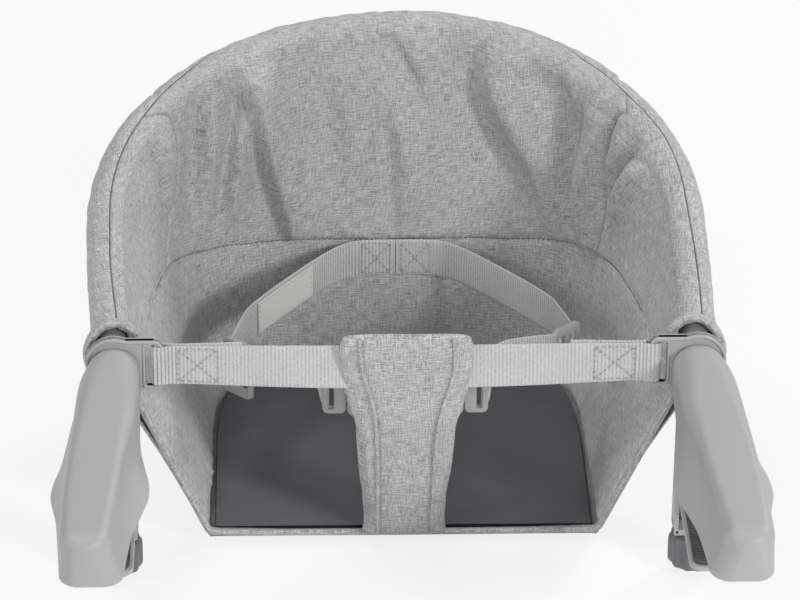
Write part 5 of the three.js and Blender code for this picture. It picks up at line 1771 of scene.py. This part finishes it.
# Sections of the arm from its rear end to its nose. Each row has its distance along as a share of the arm's
# length, the inboard and outboard reach of the foot and of the top band as shares of the flare, and the round
# of the band's edge as a share of the axis height.
ARM_SECTION_SHARES = np.array([
    (0, 0.466, 0.466, 0.466, 0.466, 0.95),
    (0.115, 0.475, 0.675, 0.452, 0.6, 0.85),
    (0.297, 0.515, 0.79, 0.452, 0.64, 0.62),
    (0.402, 0.6, 0.86, 0.385, 0.655, 0.5),
    (0.488, 0.69, 0.96, 0.325, 0.67, 0.42),
    (0.56, 0.7, 0.99, 0.28, 0.68, 0.38),
    (0.617, 0.64, 0.94, 0.26, 0.69, 0.36),
    (0.679, 0.55, 0.87, 0.235, 0.7, 0.36),
    (0.76, 0.44, 0.825, 0.2, 0.72, 0.38),
    (0.88, 0.37, 0.77, 0.15, 0.725, 0.42),
    (0.938, 0.35, 0.745, 0.13, 0.72, 0.45),
])


def arm_section(share):
    """Place, four reaches and edge round of the arm, on a smooth curve through its sections."""
    last = len(ARM_SECTION_SHARES) - 1
    i = min(int(last * share), last - 1)
    t = last * share - i
    p0, p1, p2, p3 = (ARM_SECTION_SHARES[min(max(k, 0), last)] for k in (i - 1, i, i + 1, i + 2))
    v0, v1 = (p2 - p0) / 2, (p3 - p1) / 2
    cubic, square = 2 * p1 - 2 * p2 + v0 + v1, 3 * p2 - 3 * p1 - 2 * v0 - v1
    along, *reaches, edge = cubic * t ** 3 + square * t ** 2 + v0 * t + p1
    return ARM_REAR + (ARM_NOSE - ARM_REAR) * along, np.array(reaches) * FLARE_REACH, edge * AXIS_HEIGHT


def arm_stations():
    """Stations along the arm, rounded at both ends, as place, reaches, edge round, height and inset."""
    rear_round, rear_steps, steps, nose_steps = 0.0011, 4, 80, 12
    y, reaches, edge = arm_section(0.0)
    stations = []
    for i in range(rear_steps):
        angle = i / rear_steps * math.pi / 2
        inset = rear_round * (1 - math.sin(angle))
        stations.append((y - rear_round * (1 - math.cos(angle)), reaches, edge, ARM_HEIGHT, inset))
    for i in range(1, steps + 1):
        y, reaches, edge = arm_section(i / steps)
        if y < ARM_REAR - rear_round:
            stations.append((y, reaches, edge, ARM_HEIGHT, 0.0))
    run = y - ARM_NOSE
    for i in range(1, nose_steps + 1):
        angle = i / nose_steps * NOSE_TURN * math.pi / 2
        drop = 1 - math.cos(angle)
        place = y - run * math.sin(angle)
        stations.append((place, reaches - NOSE_ROUND * drop, edge, ARM_HEIGHT - NOSE_EDGE * drop, 0.0))
    return stations


def arm_ring(station, inset, dip):
    """One ring of the arm's skin, from the outboard foot over the top to the inboard foot."""
    y, reaches, edge_round, height, rounding = station
    in_foot, out_foot, in_band, out_band = reaches
    draw_in = inset + rounding
    side_steps, edge_steps = 9, 9
    edge = min(edge_round, 0.48 * (in_band + out_band)) - draw_in
    shoulder = height - draw_in - edge

    def half_ring(foot, band):
        half = [(foot - draw_in, FOOT_HEIGHT - dip)] if dip else []
        for i in range(side_steps):
            rise = i / side_steps
            reach = band + (foot - band) * (1 - rise) ** FLARE_CURVE
            half.append((reach - draw_in, FOOT_HEIGHT + (shoulder - FOOT_HEIGHT) * rise))
        for i in range(edge_steps + 1):
            angle = i / edge_steps * math.pi / 2
            half.append((band - draw_in - edge * (1 - math.cos(angle)), shoulder + edge * math.sin(angle)))
        return half

    middle = (ARM_REAR + ARM_NOSE) / 2
    place = middle + (y - middle) * (1 - 2 * inset / (ARM_REAR - ARM_NOSE))
    ring = half_ring(out_foot, out_band) + [(-x, z) for x, z in reversed(half_ring(in_foot, in_band))]
    return [(x, place, z) for x, z in ring]


def bore_rod(sides, radius, low, high):
    """A rod along Y on the tube's axis, which cuts the tube's bore."""
    rod = turned([(radius, low), (radius, high)], sides)
    return Shell(rod.points[:, [0, 2, 1]] + UP * AXIS_HEIGHT, [face[::-1] for face in rod.faces])


class TABLECHAIR_OT_arms(Operator):
    """Moulded arms that lie on the table, with their rubber pads"""
    bl_idname = "table_chair.arms"
    bl_label = "Arms"

    def execute(self, context):
        below, bore_depth, bore_over = 0.005, 0.008, 0.005
        stations = arm_stations()
        outer = lofted([arm_ring(station, 0.0, 0.0) for station in stations])
        hollow = lofted([arm_ring(station, SHELL_WALL, below) for station in stations])
        bore = bore_rod(40, BORE_RADIUS, ARM_REAR - bore_depth, ARM_REAR + bore_over)
        moulding = carved(outer, [hollow, bore])
        pad = self.table_pad()
        for word, side in SIDES.items():
            body = f"{word}_arm"
            shell, node = moulding.on_arm(side), f"{word}_arm_shell"
            piece(f"{word}_arm_moulding", shell, body, "arm_plastic", [node], angle=ARM_EDGE)
            piece(f"{word}_table_cushion", pad.on_arm(side), body, "rubber", [f"{word}_table_pad"])
        return {"FINISHED"}

    def table_pad(self):
        """Thin pad under the foot, drawn in from its edge, with holes for the base's screws."""
        inset, rear, hole, thickness, edge = 0.0045, -0.003, 0.0032, 0.0011, 0.0003
        outboard, inboard, middle = [], [], (ARM_REAR + ARM_NOSE) / 2
        for y, (in_foot, out_foot, _, _), _, _, _ in arm_stations():
            place = middle + (y - middle) * (1 - 2 * inset / (ARM_REAR - ARM_NOSE))
            if place < rear:
                outboard.append((out_foot - inset, place))
                inboard.append((inset - in_foot, place))
        holes = [circle(place, hole) for place in self.screw_places()]
        return plate([np.array(outboard + inboard[::-1]), *holes], 0.0, thickness, edge)

    def screw_places(self):
        places = []
        for share in (0.5, 0.8):
            y, (in_foot, out_foot, _, _), _ = arm_section(share)
            places.append(((out_foot - in_foot) / 2, y))
        return places


class TABLECHAIR_OT_collars(Operator):
    """Collars on the tube, each with a bead round its edge and an ear with a slot for the front strap"""
    bl_idname = "table_chair.collars"
    bl_label = "Collars"

    def execute(self, context):
        edge = settings().moulding.edge
        axis, centre = (0.0, AXIS_HEIGHT), (0.0, AXIS_HEIGHT + COLLAR_LIFT)
        ear_end, ear_foot, ear_top, ear_round, ear_start = -0.028, 0.0015, 0.0336, 0.005, -0.004
        bead, slot_bead, bore_bead, recess = 0.0019, 0.0017, 0.0022, 0.0011
        bead_drop, slot_drop = 0.0001, 0.0004
        meet = 180 - math.degrees(math.asin((ear_top - centre[1]) / COLLAR_RADIUS))
        outline = np.vstack([
            arc(centre, COLLAR_RADIUS, -90, meet, 44),
            arc((ear_end + ear_round, ear_top - ear_round), ear_round, 90, 180),
            arc((ear_end + ear_round, ear_foot + ear_round), ear_round, 180, 270),
            [(ear_start, ear_foot)],
        ])
        bore = circle(axis, TUBE_RADIUS + CLEARANCE, 48)
        round_hole = circle(axis, TUBE_RADIUS + bore_bead, 48)
        slot = rounded_box(*COLLAR_SLOT)
        low, high = COLLAR_FRONT, COLLAR_FRONT + COLLAR_THICKNESS
        whole = merged([
            plate([outline, bore, slot], low + recess, high - recess, edge, "y"),
            plate([outline, inset_outline(outline, bead)], low + bead_drop, high - bead_drop, edge, "y"),
            plate([round_hole, bore], low, high, edge / 2, "y"),
            plate([inset_outline(slot, -slot_bead), slot], low + slot_drop, high - slot_drop, edge, "y"),
        ])
        for word, side in SIDES.items():
            name, node = f"{word}_collar_moulding", f"{word}_collar"
            piece(name, whole.on_arm(side), "frame", "arm_plastic", [node])
        return {"FINISHED"}


class TABLECHAIR_OT_clamps(Operator):
    """Clamps below the arms: post, threaded lead screw, knob, jaw and its rubber pad"""
    bl_idname = "table_chair.clamps"
    bl_label = "Clamps"

    def execute(self, context):
        makers = (
            ("post_moulding", self.post, "arm_plastic", "arm", "clamp_post"),
            ("lead_thread", self.lead_screw, "steel", "lead", "lead_screw"),
            ("knob_moulding", self.knob, "dark_plastic", "lead", "knob"),
            ("jaw_moulding", self.jaw, "arm_plastic", "jaw", "jaw"),
            ("jaw_cushion", self.jaw_pad, "rubber", "jaw", "jaw_pad"),
        )
        for name, maker, slot, body, node in makers:
            shell = maker()
            for word, side in SIDES.items():
                piece(f"{word}_{name}", shell.on_arm(side), f"{word}_{body}", slot, [f"{word}_{node}"])
        return {"FINISHED"}

    def post(self):
        """Channel-shaped post with closed ends and three ribs on its back."""
        edge = settings().moulding.edge
        end_gap, rib_half, rib_corner, rib_edge = 0.001, 0.0009, 0.0008, 0.0003
        rib_low, rib_high, rib_depth, rib_places = 0.008, 0.010, 0.0009, (-0.006, 0.0, 0.006)
        inner, back = POST_HALF - POST_WALL, POST_BACK - POST_WALL
        channel = np.array([
            (-POST_HALF, POST_FRONT), (-inner, POST_FRONT), (-inner, back), (inner, back),
            (inner, POST_FRONT), (POST_HALF, POST_FRONT), (POST_HALF, POST_BACK), (-POST_HALF, POST_BACK),
        ])
        whole = rounded_box(-POST_HALF, POST_FRONT, POST_HALF, POST_BACK, POST_WALL / 2)
        hole = circle((0.0, LEAD_Y), LEAD_RADIUS + SCREW_CLEARANCE)
        shells = [
            plate([channel], POST_FOOT + end_gap, POST_TOP - end_gap, edge),
            plate([whole], POST_TOP - POST_PLATE, POST_TOP, edge),
            plate([whole, hole], POST_FOOT, POST_FOOT + POST_PLATE, edge),
        ]
        start = POST_BACK - rib_edge
        bottom, top = POST_FOOT + rib_low, POST_TOP - rib_high
        for x in rib_places:
            rib = rounded_box(x - rib_half, bottom, x + rib_half, top, rib_corner)
            shells.append(plate([rib], start, start + rib_depth, rib_edge, "y"))
        return merged(shells)

    def lead_screw(self):
        """Threaded rod, with a point at each end."""
        size = settings().moulding
        low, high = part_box("right_lead_screw")
        sides, gap, point = 32, 0.0003, 0.0015
        z = np.arange(low[2] + gap, high[2] - gap, size.thread_pitch / 20)
        angle = np.arange(sides) / sides * 2 * np.pi
        turn = (z[:, None] / size.thread_pitch - angle[None] / (2 * np.pi)) % 1.0
        groove = np.clip(np.abs(turn - 0.5) * 4 - 0.6, 0, 1)
        ends = np.clip(np.minimum(z - low[2], high[2] - z) / point, 0, 1)[:, None]
        radius = (LEAD_RADIUS - size.thread_depth * (1 - groove)) * (0.8 + 0.2 * ends)
        heights = np.repeat(z[:, None], sides, 1)
        return lofted(np.stack([radius * np.cos(angle), radius * np.sin(angle) + LEAD_Y, heights], -1))

    def knob(self):
        """Lobed knob, drawn as rings from the hollow in its foot to the one in its top.
        Each ring has its radius, its height from the foot or the top, and how far the lobes show in it."""
        size = settings().moulding
        lobes, sides, drawn_radius, least = 10, 160, 0.0145, 1e-5
        foot = KNOB_TOP - KNOB_HEIGHT
        angle = np.arange(sides) / sides * 2 * np.pi
        dip = size.lobe_depth / 2 * (1 - np.cos(lobes * angle))
        lower = (
            (0.0, 0.0022, 0.0), (0.0072, 0.0022, 0.0), (0.0078, 0.0014, 0.0), (0.0092, 0.0002, 0.0),
            (0.0118, 0.0, 0.4), (0.0134, 0.0008, 0.9), (0.0143, 0.0024, 1.0), (0.0145, 0.0050, 1.0),
        )
        upper = (
            (0.0145, -0.0052, 1.0), (0.0142, -0.0028, 1.0), (0.0131, -0.0012, 0.7), (0.0112, -0.0006, 0.2),
            (0.0070, -0.0004, 0.0), (0.0064, 0.0, 0.0), (0.0046, 0.0, 0.0), (0.0043, -0.0006, 0.0),
            (0.0, -0.0006, 0.0),
        )
        rings = []
        for start, half in ((foot, lower), (KNOB_TOP, upper)):
            for radius, rise, lobed in half:
                reach = max(radius * size.knob_radius / drawn_radius, least) - dip * lobed
                across, deep = reach * np.cos(angle), reach * np.sin(angle) + LEAD_Y
                rings.append(np.stack([across, deep, np.full(sides, start + rise)], 1))
        return lofted(rings)

    def jaw(self):
        """Block that slides in the post, with a flange reaching forward and three ribs below it."""
        edge = settings().moulding.edge
        flange_half, flange_depth, tip, corner, overlap = 0.013, 0.003, 0.0065, 0.001, 0.0003
        rib, rib_in, rib_gap, rib_nose, rib_bend, middle_half = 0.0024, 0.002, 0.0015, 0.007, -0.020, 0.0012
        block_half = POST_HALF - POST_WALL - CLEARANCE
        block_back = POST_BACK - POST_WALL - CLEARANCE
        block_front = POST_FRONT - POST_WALL
        hole = circle((0.0, LEAD_Y), LEAD_RADIUS + SCREW_CLEARANCE)
        block = rounded_box(-block_half, block_front, block_half, block_back, corner)
        flange = rounded_box(-flange_half, JAW_REACH, flange_half, block_front + overlap, tip)
        root, nose, rib_top = block_front + rib_in, JAW_REACH + tip, JAW_TOP - rib_gap
        side = np.array([
            (root, JAW_FOOT), (root, rib_top), (nose, rib_top), (nose, JAW_TOP - rib_nose),
            (rib_bend, JAW_FOOT),
        ])
        shells = [
            plate([block, hole], JAW_FOOT, JAW_TOP, edge),
            plate([flange], JAW_TOP - flange_depth, JAW_TOP, edge),
        ]
        for x in (-block_half, -middle_half, block_half - rib):
            shells.append(plate([side], x, x + rib, edge, "x"))
        return merged(shells)

    def jaw_pad(self):
        """Rubber pad on the jaw's flange, with ribs across it."""
        pitch = settings().moulding.pad_rib
        half, nose, heel, corner, edge, rib_edge = 0.011, -0.098, -0.006, 0.0055, 0.0004, 0.0003
        top, rib_rise, rib_root, rib_half, rib_corner = -0.040, 0.0008, 0.0012, 0.0098, 0.0006
        first, last = -0.0935, -0.0100
        outline = rounded_box(-half, nose, half, heel, corner)
        shells = [plate([outline], JAW_TOP + CLEARANCE, top - rib_rise, edge)]
        for y in np.arange(first, last, pitch):
            rib = rounded_box(-rib_half, y, rib_half, y + pitch * 0.55, rib_corner)
            shells.append(plate([rib], top - rib_root, top, rib_edge))
        return merged(shells)


class TABLECHAIR_OT_screws(Operator):
    """Small screws, with domed heads and cross recesses"""
    bl_idname = "table_chair.screws"
    bl_label = "Screws"

    def execute(self, context):
        for word in SIDES:
            for part in ("post_screw_inner", "post_screw_outer", "base_screw_1", "base_screw_2"):
                node = f"{word}_{part}"
                shell = self.screw(node)
                piece(f"{word}_{part}_head", shell, f"{word}_arm", "steel", [node], angle=METAL_EDGE)
        return {"FINISHED"}

    def screw(self, node):
        """Screw with a domed head below, a cross recess in it and a threaded shank."""
        low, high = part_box(node)
        tall = high[2] - low[2]
        sides, head, shank, head_height, dome = 64, 0.0029, 0.0016, 0.0023, 0.0009
        thread_start, thread_end, thread_step, thread_depth = 0.0006, 0.0010, 0.0007, 0.0003
        arm_half, arm_reach, arm_height, arm_depth = 0.00045, 0.0019, 0.001, 0.0008
        shares = (0.02, 0.15, 0.25, 0.35, 0.45, 0.55, 0.62, 0.7, 0.85, 0.95, 1.0)
        angle = np.arange(sides) / sides * 2 * np.pi
        profile = [(share * head, dome * share ** 2.2) for share in shares]
        profile += [(head, head_height), (shank, head_height)]
        for i, z in enumerate(np.arange(head_height + thread_start, tall - thread_end, thread_step)):
            profile.append((shank - thread_depth * (i % 2), z))
        profile += [(shank * 0.3, tall)]
        rings = []
        for radius, z in profile:
            x, y = radius * np.cos(angle), radius * np.sin(angle)
            arms = (np.minimum(np.abs(x), np.abs(y)) < arm_half) & (radius < arm_reach) & (z < arm_height)
            rings.append(np.stack([x, y, z + arm_depth * arms], 1))
        middle = (low + high) / 2
        return lofted(rings).moved(middle[0], middle[1], low[2])


class TABLECHAIR_OT_carried_parts(Operator):
    """Finishes for the solids that stay: bases, bearings, plugs, washers, nuts and the stiffening board"""
    bl_idname = "table_chair.carried_parts"
    bl_label = "Carried parts"

    def execute(self, context):
        slots = {entry["node"]: entry["material_slot"] for entry in frame["record"]["subparts"]}
        kept = ("arm_base", "rear_bush", "front_bush", "fold_washer", "tube_plug", "jaw_nut")
        names = ["seat_board"] + [f"{word}_{part}" for word in SIDES for part in kept]
        for name in names:
            thing = frame["nodes"][name]
            thing.data.materials.clear()
            thing.data.materials.append(finish_of(slots[name]))
            smoothed(thing, 25.0)
        return {"FINISHED"}


class TABLECHAIR_OT_stage(Operator):
    """Plain floor, soft studio light and the camera"""
    bl_idname = "table_chair.stage"
    bl_label = "Stage"

    def execute(self, context):
        self.floor()
        self.lights(context)
        self.camera(context)
        context.scene.view_settings.view_transform = "Standard"
        return {"FINISHED"}

    def floor(self):
        radius, sides, below = 6.0, 24, 0.0024
        ring = np.c_[circle_section(sides) * radius, np.full(sides, SEAT_BOTTOM - below)]
        mesh = bpy.data.meshes.new("stage_floor")
        mesh.from_pydata(ring.tolist(), [], [tuple(range(sides))])
        floor = bpy.data.objects.new("stage_floor", mesh)
        bpy.context.scene.collection.objects.link(floor)
        finish = Finish("stage_floor", Specular_IOR_Level=0.1)
        cloud = finish.grain(finish.position(), (3.0, 3.0, 3.0))
        tint = settings().colours.floor
        finish.colour(finish.mixed(cloud, shade(tint, 0.98), shade(tint, 1.02)))
        finish.roughness(cloud * 0.1 + 0.75)
        self.paled(finish)
        floor.data.materials.append(finish.material)

    def paled(self, finish):
        """Makes the floor look nearly white to the camera and in shiny pieces, while it keeps the shadow."""
        whiteness = 0.8
        tree = finish.tree
        rays = tree.nodes.new("ShaderNodeLightPath")
        seen = Value(finish, rays.outputs["Is Camera Ray"]) + Value(finish, rays.outputs["Is Glossy Ray"])
        seen = seen + Value(finish, rays.outputs["Is Transmission Ray"])
        share = seen.spread(0.0, 1.0) * whiteness
        glow = tree.nodes.new("ShaderNodeEmission")
        glow.inputs["Strength"].default_value = 1.0
        mixed = tree.nodes.new("ShaderNodeMixShader")
        finish.feed(mixed.inputs[0], share)
        tree.links.new(finish.shader.outputs["BSDF"], mixed.inputs[1])
        tree.links.new(glow.outputs["Emission"], mixed.inputs[2])
        output = next(node for node in tree.nodes if node.type == "OUTPUT_MATERIAL")
        tree.links.new(mixed.outputs["Shader"], output.inputs["Surface"])

    def lights(self, context):
        middle, world_strength = Vector((0.0, 0.1, 0.0)), 0.27
        lamps = (
            ("front_light", (0.0, -2.2, 0.9), 0.8, 12.5),
            ("front_right_light", (1.6, -1.5, 1.1), 0.5, 25.0),
            ("back_right_light", (1.5, 1.5, 1.4), 0.6, 19.0),
            ("left_light", (-1.7, -0.6, 1.1), 0.7, 7.0),
            ("top_light", (-0.7, 0.5, 2.2), 0.8, 15.0),
        )
        for name, place, width, power in lamps:
            light = bpy.data.lights.new(name, "AREA")
            light.shape = "DISK"
            light.size = width
            light.energy = power
            lamp = bpy.data.objects.new(name, light)
            lamp.location = place
            lamp.rotation_mode = "QUATERNION"
            lamp.rotation_quaternion = (middle - Vector(place)).to_track_quat("-Z", "Y")
            context.scene.collection.objects.link(lamp)
        world = bpy.data.worlds.new("studio")
        world.use_nodes = True
        background = world.node_tree.nodes["Background"]
        background.inputs["Color"].default_value = (1.0, 1.0, 1.0, 1.0)
        background.inputs["Strength"].default_value = world_strength
        context.scene.world = world

    def camera(self, context):
        place = Vector((-0.0731, -2.07441, 1.21544))
        target = Vector((-0.00349, 0.04589, 0.04874))
        roll = math.radians(0.511)
        data = bpy.data.cameras.new("camera")
        data.lens = 188.1
        data.sensor_width = 36.0
        camera = bpy.data.objects.new("camera", data)
        camera.location = place
        camera.rotation_mode = "QUATERNION"
        camera.rotation_quaternion = (target - place).to_track_quat("-Z", "Y") @ Quaternion((0, 0, 1), roll)
        context.scene.collection.objects.link(camera)
        context.scene.camera = camera


OPERATORS = (
    TABLECHAIR_OT_stage,
    TABLECHAIR_OT_tube,
    TABLECHAIR_OT_rim_tunnel,
    TABLECHAIR_OT_lining,
    TABLECHAIR_OT_cover,
    TABLECHAIR_OT_floor,
    TABLECHAIR_OT_seat_stitching,
    TABLECHAIR_OT_front_strap,
    TABLECHAIR_OT_waist_straps,
    TABLECHAIR_OT_buckle,
    TABLECHAIR_OT_label,
    TABLECHAIR_OT_crotch_pad,
    TABLECHAIR_OT_arms,
    TABLECHAIR_OT_collars,
    TABLECHAIR_OT_clamps,
    TABLECHAIR_OT_screws,
    TABLECHAIR_OT_carried_parts,
)


class TABLECHAIR_PT_sidebar(Panel):
    """Lists the steps that build the table chair"""
    bl_idname = "TABLECHAIR_PT_sidebar"
    bl_label = "Table Chair"
    bl_space_type = "VIEW_3D"
    bl_region_type = "UI"
    bl_category = "Table Chair"

    def draw(self, context):
        for operator in OPERATORS:
            self.layout.operator(operator.bl_idname)
        for name in ("cloth", "harness", "moulding", "colours"):
            group = getattr(context.scene.table_chair, name)
            box = self.layout.box()
            box.label(text=name.capitalize())
            for key in group.__annotations__:
                box.prop(group, key)


CLASSES = (
    ClothSettings,
    HarnessSettings,
    MouldingSettings,
    ColourSettings,
    TableChairSettings,
    *OPERATORS,
    TABLECHAIR_PT_sidebar,
)


def register():
    for each in CLASSES:
        bpy.utils.register_class(each)
    bpy.types.Scene.table_chair = PointerProperty(type=TableChairSettings)


def unregister():
    del bpy.types.Scene.table_chair
    for each in reversed(CLASSES):
        bpy.utils.unregister_class(each)


def main():
    register()
    for operator in OPERATORS:
        group, name = operator.bl_idname.split(".")
        getattr(getattr(bpy.ops, group), name)()


if __name__ == "__main__":
    main()
